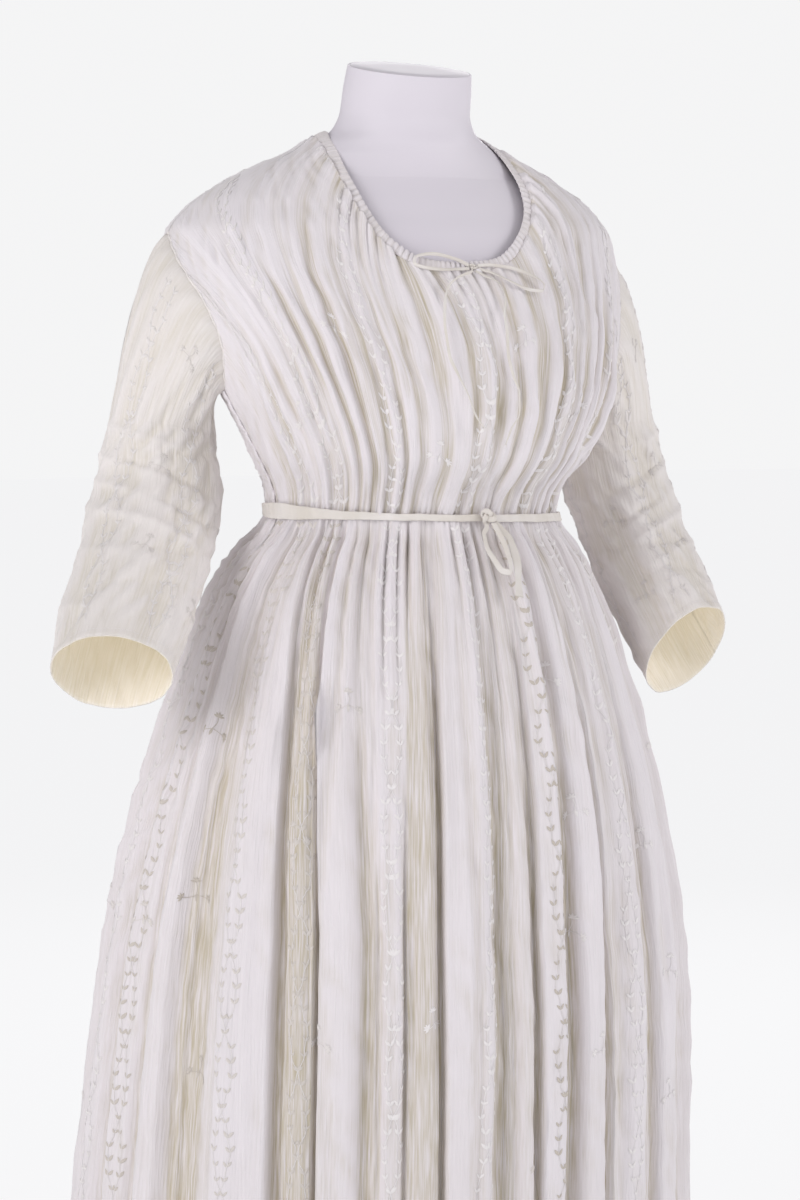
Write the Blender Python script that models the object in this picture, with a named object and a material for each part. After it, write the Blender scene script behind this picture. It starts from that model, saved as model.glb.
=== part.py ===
"""A regency gown of white muslin on a limbless dress form with a round stand.

Metres, +Z up. The gown's front faces -Y and the wearer's right is -X. The origin is the
middle of the stand base's underside, on the floor. The body of the gown is drawn on one
smooth hull, whose level sections are half ellipses front and back, and folds, gathers,
casing, tapes and ties are all placed on that hull and moved out from it.
"""

from math import pi, radians

import bpy
import numpy as np

# Cloth
WALL = 0.0016
GAP = 0.0003
SEAM = 0.00015
GATHER = 0.0012
COLUMN_BEND = 7
HEM_HEIGHT = 0.018
BELT_HEIGHT = 0.9525
BELT_TILT = 0.0055

# Neckline, shoulder and armhole
NECK_BACK = 1.321
NECK_SIDE = 1.331
CASING_WIDTH = 0.010
CASING_WALL = 0.0022
CASING_PUCKER = 0.0008
SHOULDER_TIP = 1.231
NECK_SHARE = 0.52
SHOULDER_SHARE = 0.80
ARMHOLE_HEIGHT = 1.1535
ARMHOLE_HALF_HEIGHT = 0.0775
ARMHOLE_HALF_WIDTH = 0.046

# Waist tape
TAPE_WIDTH = 0.0115
TAPE_WALL = 0.0010
TAPE_LIFT = 0.0072

# Dress form and stand
FORM_BOTTOM = 0.800
POLE_RADIUS = 0.0125
BASE_RADIUS = 0.165
BASE_HEIGHT = 0.012
BASE_BEVEL = 0.003


def table(columns, *rows):
    """Rows of numbers under named columns"""
    return np.array(list(rows), dtype=[(name, float) for name in columns.split()])


# Level sections of the gown: half width, depth before and behind the middle, where the
# middle lies, and how far the section is shifted to the wearer's left
HULL = table(
    "height half_width front back middle shift",
    (0.000, 0.334, 0.286, 0.292, 0.082, 0.000),
    (0.266, 0.315, 0.270, 0.274, 0.063, 0.000),
    (0.466, 0.300, 0.256, 0.260, 0.041, 0.000),
    (0.566, 0.286, 0.244, 0.248, 0.034, 0.000),
    (0.666, 0.264, 0.226, 0.229, 0.027, 0.000),
    (0.766, 0.234, 0.200, 0.203, 0.021, 0.000),
    (0.866, 0.198, 0.166, 0.172, 0.016, 0.000),
    (0.916, 0.168, 0.136, 0.141, 0.009, 0.000),
    (0.936, 0.153, 0.119, 0.121, 0.003, 0.000),
    (0.954, 0.146, 0.110, 0.110, 0.000, 0.000),
    (0.974, 0.148, 0.119, 0.111, 0.000, 0.000),
    (1.016, 0.170, 0.146, 0.117, -0.006, 0.001),
    (1.066, 0.198, 0.157, 0.121, -0.002, 0.002),
    (1.116, 0.220, 0.159, 0.124, 0.012, 0.002),
    (1.156, 0.235, 0.161, 0.122, 0.030, 0.000),
    (1.196, 0.243, 0.159, 0.118, 0.050, 0.000),
    (1.231, 0.238, 0.152, 0.110, 0.062, 0.003),
    (1.256, 0.219, 0.139, 0.100, 0.066, 0.006),
    (1.276, 0.190, 0.123, 0.088, 0.064, 0.006),
    (1.296, 0.151, 0.103, 0.072, 0.058, 0.004),
    (1.314, 0.110, 0.080, 0.056, 0.046, 0.002),
    (1.331, 0.080, 0.047, 0.042, 0.032, 0.000),
)

# Front neckline from its middle to the shoulder
NECKLINE = table(
    "share x height",
    (0.00, 0.000, 1.198),
    (0.20, 0.044, 1.205),
    (0.38, 0.074, 1.230),
    (0.53, 0.088, 1.256),
    (0.70, 0.093, 1.284),
    (0.86, 0.091, 1.309),
    (1.00, 0.080, 1.331),
)

# Valleys of the bodice front: place at the neckline and at the belt, from the wearer's
# right (-1) to the left (1), and the swell to the next valley at head, chest and belt
BODICE_FRONT = table(
    "top belt head chest waist",
    (-1.0000, -1.000, 0.000, 0.002, 0.0016),
    (-0.9333, -0.800, 0.000, 0.003, 0.0022),
    (-0.8667, -0.720, 0.000, 0.004, 0.0016),
    (-0.8000, -0.650, 0.000, 0.003, 0.0022),
    (-0.6600, -0.580, 0.001, 0.006, 0.0028),
    (-0.5200, -0.510, 0.002, 0.003, 0.0016),
    (-0.4550, -0.455, 0.002, 0.006, 0.0022),
    (-0.3950, -0.390, 0.003, 0.007, 0.0028),
    (-0.3250, -0.330, 0.002, 0.003, 0.0016),
    (-0.2650, -0.275, 0.003, 0.007, 0.0028),
    (-0.1950, -0.215, 0.002, 0.003, 0.0016),
    (-0.1400, -0.140, 0.003, 0.007, 0.0028),
    (-0.0700, -0.030, 0.002, 0.005, 0.0022),
    (0.0050, 0.055, 0.002, 0.003, 0.0016),
    (0.0700, 0.130, 0.003, 0.007, 0.0028),
    (0.1450, 0.215, 0.002, 0.004, 0.0022),
    (0.2150, 0.300, 0.003, 0.007, 0.0028),
    (0.2900, 0.370, 0.002, 0.003, 0.0016),
    (0.3700, 0.410, 0.003, 0.006, 0.0028),
    (0.4550, 0.465, 0.002, 0.005, 0.0022),
    (0.5200, 0.515, 0.001, 0.003, 0.0016),
    (0.6600, 0.590, 0.001, 0.005, 0.0028),
    (0.8000, 0.650, 0.000, 0.003, 0.0022),
    (0.8667, 0.720, 0.000, 0.004, 0.0016),
    (0.9333, 0.800, 0.000, 0.003, 0.0022),
    (1.0000, 1.000, 0.000, 0.002, 0.0016),
)

# Valleys of the bodice back, seen from behind, with the same columns
BODICE_BACK = table(
    "top belt head chest waist",
    (-1.0000, -1.000, 0.000, 0.002, 0.0016),
    (-0.9333, -0.760, 0.000, 0.002, 0.0022),
    (-0.8667, -0.660, 0.000, 0.003, 0.0028),
    (-0.8000, -0.570, 0.000, 0.002, 0.0016),
    (-0.6600, -0.500, 0.000, 0.003, 0.0022),
    (-0.5200, -0.420, 0.001, 0.004, 0.0028),
    (-0.4000, -0.330, 0.002, 0.003, 0.0016),
    (-0.2700, -0.240, 0.003, 0.005, 0.0028),
    (-0.1200, -0.100, 0.002, 0.003, 0.0016),
    (0.0100, 0.020, 0.003, 0.005, 0.0022),
    (0.1400, 0.140, 0.002, 0.003, 0.0028),
    (0.2800, 0.270, 0.003, 0.004, 0.0016),
    (0.4000, 0.330, 0.002, 0.003, 0.0022),
    (0.5200, 0.420, 0.000, 0.004, 0.0028),
    (0.6600, 0.500, 0.000, 0.002, 0.0016),
    (0.8000, 0.570, 0.000, 0.003, 0.0022),
    (0.8667, 0.660, 0.000, 0.002, 0.0028),
    (0.9333, 0.760, 0.000, 0.002, 0.0016),
    (1.0000, 1.000, 0.000, 0.002, 0.0016),
)

# Valleys of the skirt front: place at the belt, at half height and at the hem, and the
# swell to the next valley at the same three heights
SKIRT_FRONT = table(
    "belt half hem top_swell half_swell hem_swell",
    (-1.000, -1.000, -1.000, 0.0018, 0.012, 0.014),
    (-0.870, -0.860, -0.845, 0.0027, 0.016, 0.020),
    (-0.780, -0.745, -0.705, 0.0027, 0.024, 0.028),
    (-0.600, -0.486, -0.428, 0.0018, 0.014, 0.014),
    (-0.527, -0.420, -0.365, 0.0027, 0.016, 0.014),
    (-0.388, -0.287, -0.250, 0.0023, 0.010, 0.010),
    (-0.239, -0.219, -0.177, 0.0032, 0.014, 0.012),
    (-0.160, -0.150, -0.115, 0.0032, 0.026, 0.020),
    (0.040, 0.008, 0.030, 0.0018, 0.010, 0.010),
    (0.125, 0.085, 0.104, 0.0018, 0.006, 0.006),
    (0.230, 0.175, 0.160, 0.0027, 0.026, 0.032),
    (0.362, 0.290, 0.280, 0.0023, 0.014, 0.012),
    (0.530, 0.446, 0.427, 0.0027, 0.020, 0.022),
    (0.690, 0.640, 0.620, 0.0023, 0.014, 0.018),
    (0.840, 0.820, 0.800, 0.0023, 0.012, 0.014),
    (1.000, 1.000, 1.000, 0.0018, 0.010, 0.012),
)

# Valleys of the skirt back, seen from behind, with the same columns
SKIRT_BACK = table(
    "belt half hem top_swell half_swell hem_swell",
    (-1.000, -1.000, -1.000, 0.0018, 0.012, 0.014),
    (-0.830, -0.850, -0.850, 0.0027, 0.018, 0.020),
    (-0.680, -0.660, -0.640, 0.0023, 0.012, 0.014),
    (-0.520, -0.520, -0.530, 0.0027, 0.022, 0.026),
    (-0.370, -0.340, -0.320, 0.0023, 0.014, 0.014),
    (-0.240, -0.230, -0.220, 0.0032, 0.024, 0.026),
    (-0.090, -0.040, -0.010, 0.0023, 0.014, 0.016),
    (0.040, 0.080, 0.100, 0.0027, 0.022, 0.024),
    (0.200, 0.260, 0.300, 0.0023, 0.012, 0.012),
    (0.330, 0.370, 0.390, 0.0027, 0.022, 0.026),
    (0.490, 0.550, 0.570, 0.0023, 0.014, 0.016),
    (0.650, 0.690, 0.700, 0.0027, 0.018, 0.020),
    (0.830, 0.850, 0.850, 0.0023, 0.012, 0.014),
    (1.000, 1.000, 1.000, 0.0018, 0.010, 0.012),
)

# Sleeve sections from armpit to cuff: middle, half sizes and the way that the section
# faces, in degrees outward from the body and forward
SLEEVE_RIGHT = table(
    "out forth height broad deep outward forward",
    (0.240, 0.068, 1.040, 0.053, 0.051, 12, 2),
    (0.247, 0.060, 0.988, 0.060, 0.050, 14, 12),
    (0.274, 0.020, 0.925, 0.063, 0.048, 22, 26),
    (0.312, -0.030, 0.868, 0.063, 0.048, 26, 36),
    (0.350, -0.080, 0.812, 0.058, 0.052, 27, 42),
)
SLEEVE_LEFT = table(
    "out forth height broad deep outward forward",
    (0.253, 0.070, 1.040, 0.054, 0.052, 8, 2),
    (0.262, 0.062, 0.985, 0.055, 0.052, 10, 8),
    (0.271, 0.034, 0.918, 0.053, 0.052, 14, 22),
    (0.277, -0.010, 0.862, 0.051, 0.052, 20, 40),
    (0.284, -0.054, 0.811, 0.050, 0.054, 26, 56),
)

# Free ends and loops of the ties: place across the front in degrees, height and how far
# the tie's middle stands out from the hull
NECK_CORD = 0.0026
NECK_KNOT = (2.5, 1.1925)
NECK_LOOP_RIGHT = table(
    "angle height out",
    (1.45, 1.1940, 0.0068), (-1.6, 1.1990, 0.0085), (-7.5, 1.2030, 0.0105), (-11.5, 1.2000, 0.0105),
    (-12.0, 1.1940, 0.0105), (-9.0, 1.1895, 0.0100), (-5.0, 1.1885, 0.0090), (-1.4, 1.1897, 0.0078),
    (1.35, 1.1909, 0.0068),
)
NECK_LOOP_LEFT = table(
    "angle height out",
    (3.60, 1.1908, 0.0068), (6.4, 1.1870, 0.0080), (11.0, 1.1770, 0.0100), (16.0, 1.1690, 0.0105),
    (19.5, 1.1680, 0.0105), (20.5, 1.1740, 0.0105), (17.0, 1.1840, 0.0105), (11.0, 1.1915, 0.0095),
    (6.4, 1.1942, 0.0080), (3.55, 1.1939, 0.0068),
)
NECK_TAIL_RIGHT = table(
    "angle height out",
    (2.15, 1.1888, 0.0070), (0.6, 1.1845, 0.0085), (-2.6, 1.1790, 0.0090), (-6.0, 1.1680, 0.0092),
    (-7.8, 1.1530, 0.0092), (-9.6, 1.1280, 0.0096), (-10.0, 1.1060, 0.0096), (-8.8, 1.0890, 0.0096),
    (-6.6, 1.0700, 0.0096), (-5.0, 1.0550, 0.0094), (-2.5, 1.0440, 0.0092),
)
NECK_TAIL_LEFT = table(
    "angle height out",
    (2.85, 1.1887, 0.0068), (4.6, 1.1820, 0.0074), (7.4, 1.1750, 0.0076), (8.2, 1.1600, 0.0076),
    (7.0, 1.1450, 0.0076), (6.6, 1.1300, 0.0078), (6.0, 1.1040, 0.0082), (6.8, 1.0870, 0.0082),
    (8.4, 1.0720, 0.0082), (8.6, 1.0560, 0.0080), (6.4, 1.0410, 0.0080), (5.4, 1.0290, 0.0080),
)
WAIST_KNOT = (9.0, 0.9520)
WAIST_LOOP = table(
    "angle height out",
    (7.6, 0.9416, 0.0138), (7.1, 0.9380, 0.0150), (4.8, 0.9290, 0.0172), (4.2, 0.9180, 0.0180),
    (5.6, 0.9040, 0.0185), (7.3, 0.8940, 0.0190), (9.3, 0.8925, 0.0200), (10.4, 0.9010, 0.0200),
    (10.6, 0.9140, 0.0195), (10.6, 0.9300, 0.0176), (10.2, 0.9416, 0.0152),
)
WAIST_TAIL = table(
    "angle height out",
    (11.2, 0.9420, 0.0116), (13.4, 0.9340, 0.0122), (14.6, 0.9220, 0.0130), (13.8, 0.9050, 0.0135),
    (11.8, 0.8860, 0.0140), (10.6, 0.8710, 0.0145),
)

# Torso of the dress form: how far inside the hull, and its share of the belt's size below it
FORM = table(
    "height inside share",
    (0.800, 0.0010, 0.90),
    (0.850, 0.0010, 0.94),
    (0.905, 0.0010, 0.98),
    (0.954, 0.0007, 1.00),
    (0.974, 0.0020, 1.00),
    (1.016, 0.0060, 1.00),
    (1.066, 0.0055, 1.00),
    (1.116, 0.0045, 1.00),
    (1.156, 0.0045, 1.00),
    (1.196, 0.0065, 1.00),
    (1.231, 0.0065, 1.00),
    (1.256, 0.0065, 1.00),
    (1.276, 0.0065, 1.00),
    (1.290, 0.0065, 1.00),
)
FORM_NECK = table(
    "height half_width front back middle slope",
    (1.307, 0.108, 0.082, 0.056, 0.044, 0.00),
    (1.320, 0.083, 0.071, 0.052, 0.033, 0.00),
    (1.334, 0.0710, 0.0670, 0.0550, 0.0240, 0.02),
    (1.352, 0.0655, 0.0640, 0.0600, 0.0175, 0.07),
    (1.374, 0.0640, 0.0635, 0.0625, 0.0115, 0.14),
    (1.394, 0.0615, 0.0620, 0.0620, 0.0060, 0.20),
)

MATERIALS = {
    # name: base colour, roughness, metallic
    "white_muslin": ((0.72, 0.70, 0.69), 0.85, 0.0),
    "white_tape": ((0.76, 0.73, 0.72), 0.80, 0.0),
    "form_cover": ((0.68, 0.64, 0.68), 0.60, 0.0),
    "steel_stand": ((0.60, 0.60, 0.62), 0.35, 1.0),
}


def smooth_curve(at, xs, ys):
    """Smooth curve through the points that never overshoots them"""
    steps = np.diff(xs)
    slopes = np.diff(ys) / steps
    turns = slopes[1:] * slopes[:-1] > 0
    total = np.where(turns, slopes[1:] + slopes[:-1], 1.0)
    inner = np.where(turns, 2 * slopes[1:] * slopes[:-1] / total, 0.0)
    tangent = np.concatenate([slopes[:1], inner, slopes[-1:]])
    at = np.clip(at, xs[0], xs[-1])
    i = np.clip(np.searchsorted(xs, at, side="right") - 1, 0, len(steps) - 1)
    t = (at - xs[i]) / steps[i]
    return (
        (1 + 2 * t) * (1 - t) ** 2 * ys[i]
        + t * (1 - t) ** 2 * steps[i] * tangent[i]
        + t * t * (3 - 2 * t) * ys[i + 1]
        - t * t * (1 - t) * steps[i] * tangent[i + 1]
    )


def mix(a, b, share):
    return a + (b - a) * share


def unit(vector):
    return vector / np.linalg.norm(vector, axis=-1, keepdims=True)


def hull_size(height, name):
    return smooth_curve(height, HULL["height"], HULL[name])


def hull_point(angle, height):
    """Point on the hull; angle 0 is the front's middle and +90 degrees the wearer's left"""
    depth = np.where(np.cos(angle) > 0, hull_size(height, "front"), hull_size(height, "back"))
    x = hull_size(height, "shift") + hull_size(height, "half_width") * np.sin(angle)
    y = hull_size(height, "middle") - depth * np.cos(angle)
    return np.stack([x, y, height + 0 * angle], -1)


def hull_out(angle, height):
    """Direction straight out of the hull"""
    step = 0.0005
    height = np.clip(height, step, NECK_SIDE - step)
    along = hull_point(angle + step, height) - hull_point(angle - step, height)
    up = hull_point(angle, height + step) - hull_point(angle, height - step)
    return unit(np.cross(along, up))


def belt_height(angle):
    return BELT_HEIGHT - BELT_TILT * np.sin(angle)


def neckline(share, drop, front):
    """x and height of the neckline, drop below its edge; share is 0 in front, 1 at the side"""
    side = NECK_SIDE - 0.6 * drop
    side_x = hull_size(side, "half_width")
    if not front:
        turn = share * pi / 2
        height = mix(NECK_BACK - drop, side, 1 - np.cos(turn))
        return side_x * np.sin(turn), height
    x = smooth_curve(share, NECKLINE["share"], NECKLINE["x"])
    height = smooth_curve(share, NECKLINE["share"], NECKLINE["height"])
    blend = share**4
    down = np.cos(np.clip(share / 0.7, 0, 1) * pi / 2)
    low_x = x + drop * np.sqrt(1 - down**2)
    low_z = height - drop * down
    return mix(low_x, side_x, blend), mix(low_z, side, blend)


def top_edge(side, front, drop):
    """x and height of a panel's top: neckline, then shoulder, then armhole"""
    neck_x, neck_z = neckline(np.clip(side / NECK_SHARE, 0, 1), drop, front)
    along = np.clip((side - NECK_SHARE) / (SHOULDER_SHARE - NECK_SHARE), 0, 1)
    shoulder_z = mix(NECK_SIDE - 0.6 * drop, SHOULDER_TIP, along)
    shoulder_x = hull_size(shoulder_z, "half_width")
    turn = np.clip((side - SHOULDER_SHARE) / (1 - SHOULDER_SHARE), 0, 1) * pi
    arm_z = ARMHOLE_HEIGHT + ARMHOLE_HALF_HEIGHT * np.cos(turn)
    depth = hull_size(arm_z, "front" if front else "back")
    arm_x = hull_size(arm_z, "half_width") * np.sqrt(1 - (ARMHOLE_HALF_WIDTH * np.sin(turn) ** 2 / depth) ** 2)
    x = np.where(side < NECK_SHARE, neck_x, np.where(side < SHOULDER_SHARE, shoulder_x, arm_x))
    z = np.where(side < NECK_SHARE, neck_z, np.where(side < SHOULDER_SHARE, shoulder_z, arm_z))
    return x, z


def bodice_place(belt, top, up, front):
    """Angle and height on the hull of a column from its place at the belt to that at the top"""
    side = np.abs(top)
    top_x, top_z = top_edge(side, front, CASING_WIDTH)
    height = mix(belt_height(belt * pi / 2) + SEAM, top_z, up)
    top_angle = np.sign(top) * np.arcsin(np.clip(top_x / hull_size(top_z, "half_width"), 0, 1))
    angle = mix(belt * pi / 2, top_angle, up**COLUMN_BEND)
    limit = pi / 2 - SEAM / hull_size(height, "front")
    angle = np.clip(angle, -limit, limit)
    if not front:
        angle = pi - angle
    return angle, height


def skirt_place(across, down, front):
    """Angle and height on the hull; down is 0 at the belt and 1 at the hem"""
    top = belt_height(across * pi / 2) - SEAM
    height = mix(top, HEM_HEIGHT, down)
    edge = 1 - SEAM / (0.15 * pi / 2)
    angle = np.clip(across, -edge, edge) * pi / 2
    if not front:
        angle = pi - angle
    return angle, height


def fold_columns(rows, first, last, parts):
    """Columns from valley to valley: their places at both ends, share and row number"""
    start = np.repeat(np.arange(len(rows) - 1), parts)
    share = np.tile(np.arange(parts) / parts, len(rows) - 1)
    start = np.append(start, len(rows) - 2)
    share = np.append(share, 1.0)
    ends = [mix(rows[name][start], rows[name][start + 1], share) for name in (first, last)]
    return ends[0], ends[1], share, start


def swell(share):
    """A fold's round crest between two narrow valleys"""
    return np.sin(pi * share) ** 0.8


def bodice_fold(rows, start, share, up, across):
    """How far the bodice stands out from the hull"""
    high = np.stack([rows[name][start] for name in ("waist", "chest", "head")])
    at = np.array([0.0, 0.45, 1.0])
    height = np.array([[np.interp(u, at, high[:, c]) for c in range(len(start))] for u in up])
    gather = np.abs(np.sin(2 * pi * share)) * (1 + 0.35 * np.sin(5.1 * start))
    near_neck = np.exp(-(1 - up) / 0.10)[:, None] * (np.abs(across) < NECK_SHARE)
    near_belt = np.exp(-up / 0.07)[:, None]
    return height * swell(share) + GATHER * gather * (near_neck + near_belt)


def skirt_fold(rows, start, share, down):
    """How far the skirt stands out from the hull: valleys go in, crests stay near it"""
    high = np.stack([rows[name][start] for name in ("top_swell", "half_swell", "hem_swell")])
    at = np.array([0.0, 0.42, 1.0])
    height = np.array([[np.interp(d, at, high[:, c]) for c in range(len(start))] for d in down])
    gather = np.abs(np.sin(2 * pi * share)) * np.exp(-down / 0.06)[:, None]
    sink = 0.75 * np.clip(down / 0.10, 0, 1)[:, None]
    return height * (swell(share) - sink) + GATHER * gather


def add_object(name, points, faces, material):
    mesh = bpy.data.meshes.new(name)
    mesh.from_pydata([tuple(p) for p in points], [], faces)
    mesh.validate()
    obj = bpy.data.objects.new(name, mesh)
    bpy.context.scene.collection.objects.link(obj)
    mesh.materials.append(material)
    mesh.shade_smooth()
    mesh.set_sharp_from_angle(angle=radians(60))
    return obj


def add_wall(name, inner, outer, closed, material):
    """Closed wall between two grids of points, rows by columns"""
    rows, columns = outer.shape[:2]
    count = rows * columns
    points = np.concatenate([outer.reshape(-1, 3), inner.reshape(-1, 3)])
    faces = []

    def quad(a, b, c, d, turned=False):
        if turned:
            a, b, c, d = b, c, d, a
        faces.append((a, b, c))
        faces.append((a, c, d))

    last = columns if closed else columns - 1
    for r in range(rows - 1):
        for c in range(last):
            a, b = r * columns + c, r * columns + (c + 1) % columns
            turned = not closed and 2 * c >= last
            quad(a, b, b + columns, a + columns, turned)
            quad(count + a, count + a + columns, count + b + columns, count + b, turned)
    for c in range(last):
        a, b = c, (c + 1) % columns
        quad(a, count + a, count + b, b)
        a, b = a + count - columns, b + count - columns
        quad(a, b, count + b, count + a)
    if not closed:
        for r in range(rows - 1):
            a, b = r * columns, (r + 1) * columns
            quad(a, b, count + b, count + a)
            a, b = a + columns - 1, b + columns - 1
            quad(a, count + a, count + b, b)
    first = points[[face[0] for face in faces]]
    second = points[[face[1] for face in faces]]
    third = points[[face[2] for face in faces]]
    if np.sum(np.cross(first, second) * third) < 0:
        faces = [face[::-1] for face in faces]
    return add_object(name, points, faces, material)


def add_rings(name, rings, material):
    """Closed body through rings, with a flat fan at each end"""
    count, sides = rings.shape[:2]
    points = list(rings.reshape(-1, 3)) + [rings[0].mean(0), rings[-1].mean(0)]
    faces = []
    for r in range(count - 1):
        for c in range(sides):
            a, b = r * sides + c, r * sides + (c + 1) % sides
            faces.append((a, b, b + sides))
            faces.append((a, b + sides, a + sides))
    for c in range(sides):
        d = (c + 1) % sides
        faces.append((d, c, count * sides))
        faces.append(((count - 1) * sides + c, (count - 1) * sides + d, count * sides + 1))
    points = np.array(points)
    corners = [points[[face[k] for face in faces]] for k in range(3)]
    if np.sum(np.cross(corners[0], corners[1]) * corners[2]) < 0:
        faces = [face[::-1] for face in faces]
    return add_object(name, points, faces, material)


def on_hull(angle, height, out):
    return hull_point(angle, height) + hull_out(angle, height) * np.asarray(out)[..., None]


def make_bodice(name, rows, front, material):
    up = np.array([0, 0.05, 0.14, 0.32, 0.52, 0.70, 0.83, 0.92, 0.97, 1.0])
    top, belt, share, start = fold_columns(rows, "top", "belt", 4)
    angle, height = bodice_place(belt, top, up[:, None] + 0 * top, front)
    out = bodice_fold(rows, start, share, up, top)
    return add_wall(name, on_hull(angle, height, out), on_hull(angle, height, out + WALL), False, material)


def make_skirt(name, rows, front, material):
    down = np.array([0, 0.025, 0.06, 0.12, 0.22, 0.42, 0.62, 0.82, 1.0])
    belt, hem, share, start = fold_columns(rows, "belt", "hem", 3)
    half = fold_columns(rows, "half", "half", 3)[0]
    across = np.array([np.where(d < 0.42, mix(belt, half, d / 0.42), mix(half, hem, (d - 0.42) / 0.58)) for d in down])
    angle, height = skirt_place(across, down[:, None] + 0 * across, front)
    out = skirt_fold(rows, start, share, down)
    return add_wall(name, on_hull(angle, height, out), on_hull(angle, height, out + WALL), False, material)


def make_casing(material):
    """Gathered band round the neckline, front and back in one ring, on the panels' columns"""
    tops = [fold_columns(rows, "top", "top", 4)[0] for rows in (BODICE_FRONT, BODICE_BACK)]
    ahead, behind = [top[np.abs(top) <= NECK_SHARE + 1e-6] / NECK_SHARE for top in tops]
    inner, outer = [], []
    for drop in (0.0, CASING_WIDTH - 2 * SEAM):
        ring = []
        for share, front in ((ahead, True), (behind[-2:0:-1], False)):
            x, z = neckline(np.abs(share), drop, front)
            swing = np.arcsin(np.clip(x / hull_size(z, "half_width"), 0, 1))
            ring.append(np.stack([np.sign(share) * np.where(front, swing, pi - swing), z]))
        angle, z = np.concatenate(ring, 1)
        pucker = CASING_PUCKER * (np.arange(len(z)) % 2)
        inner.append(on_hull(angle, z, pucker))
        outer.append(on_hull(angle, z, pucker + CASING_WALL))
    return add_wall("neck_casing", np.array(inner), np.array(outer), True, material)


def armhole(turn, side, shrink):
    """Ring of the armhole, from its top round the front; side is -1 for the wearer's right"""
    z = ARMHOLE_HEIGHT + (ARMHOLE_HALF_HEIGHT - shrink) * np.cos(turn)
    front = np.sin(turn) > 0
    depth = np.where(front, hull_size(z, "front"), hull_size(z, "back"))
    swing = pi / 2 - np.arcsin((ARMHOLE_HALF_WIDTH - shrink) * np.sin(turn) ** 2 / depth)
    return hull_point(side * np.where(front, swing, pi - swing), z)


def sleeve_section(row, turn, side, shrink):
    """One level of the sleeve as an ellipse: turn 0 is its outer side, 90 degrees its front"""
    outward, forward = radians(row["outward"]), radians(row["forward"])
    face = unit(np.array([side * np.tan(outward), -np.tan(forward), -1.0]))
    away = unit(np.array([0.86 * side, 0.5, 0.0]))
    away = unit(away - face * (away @ face))
    ahead = np.cross(face, away) * side
    ahead = ahead * np.sign(-ahead[1])
    middle = np.array([side * row["out"], row["forth"], row["height"]])
    wide = (row["broad"] - shrink) * np.cos(turn)[:, None]
    deep = (row["deep"] - shrink) * np.sin(turn)[:, None]
    return middle + away * wide + ahead * deep


def sleeve_ripple(turn, level, side):
    """Soft lengthwise folds that fade towards the cuff"""
    wave = np.sin(5 * turn + 1.3 * side + 0.5 * level) + 0.6 * np.sin(9 * turn - 0.7 * level)
    return 0.0016 * wave * np.clip(level, 0, 1) * np.clip(6.5 - level, 0, 1)


def make_sleeve(name, rows, side, material):
    sides = 24
    turn = np.arange(sides) * 2 * pi / sides
    skins = []
    for shrink in (WALL, 0.0):
        start = armhole(turn, side, 2 * SEAM + 0.0003 + shrink)
        rings = []
        first = sleeve_section(rows[0], turn, side, shrink)
        reach = 0.018 + 0.014 * np.clip(np.cos(turn), 0, 1)
        steer = start + np.stack([side * reach, 0 * turn, -0.35 * reach], -1)
        for share in (0.0, 0.15, 0.4, 0.7):
            rings.append((1 - share) ** 2 * start + 2 * share * (1 - share) * steer + share**2 * first)
        count = len(rows)
        for level in np.arange(0, count - 0.99, 0.5):
            row = {n: smooth_curve(level, np.arange(count), rows[n]) for n in rows.dtype.names}
            away = sleeve_section(row, turn, side, -1.0) - sleeve_section(row, turn, side, 0.0)
            ripple = sleeve_ripple(turn, level, side)[:, None]
            rings.append(sleeve_section(row, turn, side, shrink) + ripple * unit(away))
        skins.append(np.array(rings))
    return add_wall(name, skins[0], skins[1], True, material)


def make_tape(material):
    """Flat tape tied round the belt, wider where it creases at the wearer's right"""
    angle = np.linspace(-pi, pi, 72, endpoint=False)
    crease = np.exp(-(((angle + 1.45) / 0.42) ** 2))
    half = TAPE_WIDTH / 2 + 0.0042 * crease
    lift = TAPE_LIFT + 0 * angle
    inner, outer = [], []
    for share in (-1.0, 1.0):
        height = belt_height(angle) + share * half
        inner.append(on_hull(angle, height, lift))
        outer.append(on_hull(angle, height, lift + TAPE_WALL))
    return add_wall("waist_tape", np.array(inner), np.array(outer), True, material)


def add_lump(name, middle, sizes, tilt, material):
    """Small knot: a ball with a waist, squashed to its three sizes"""
    bpy.ops.mesh.primitive_uv_sphere_add(segments=12, ring_count=8, radius=1.0)
    obj = bpy.context.object
    obj.name = name
    points = obj.data.vertices
    for point in points:
        pinch = 1 - 0.18 * np.exp(-((point.co.x / 0.22) ** 2))
        point.co = (point.co.x * sizes[0], point.co.y * sizes[1] * pinch, point.co.z * sizes[2] * pinch)
    obj.location = middle
    obj.rotation_euler = (0, tilt, 0)
    obj.data.materials.append(material)
    obj.data.shade_smooth()
    return obj


def route(rows, spacing):
    """Even points along a smooth curve through a tie's rows"""
    angle = np.radians(rows["angle"])
    places = on_hull(angle, rows["height"], rows["out"])
    length = np.append(0, np.cumsum(np.linalg.norm(np.diff(places, axis=0), axis=1)))
    fine = np.linspace(0, length[-1], 400)
    curve = np.stack([smooth_curve(fine, length, places[:, k]) for k in range(3)], -1)
    run = np.append(0, np.cumsum(np.linalg.norm(np.diff(curve, axis=0), axis=1)))
    count = int(round(run[-1] / spacing)) + 1
    return np.stack([np.interp(np.linspace(0, run[-1], count), run, curve[:, k]) for k in range(3)], -1)


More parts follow.
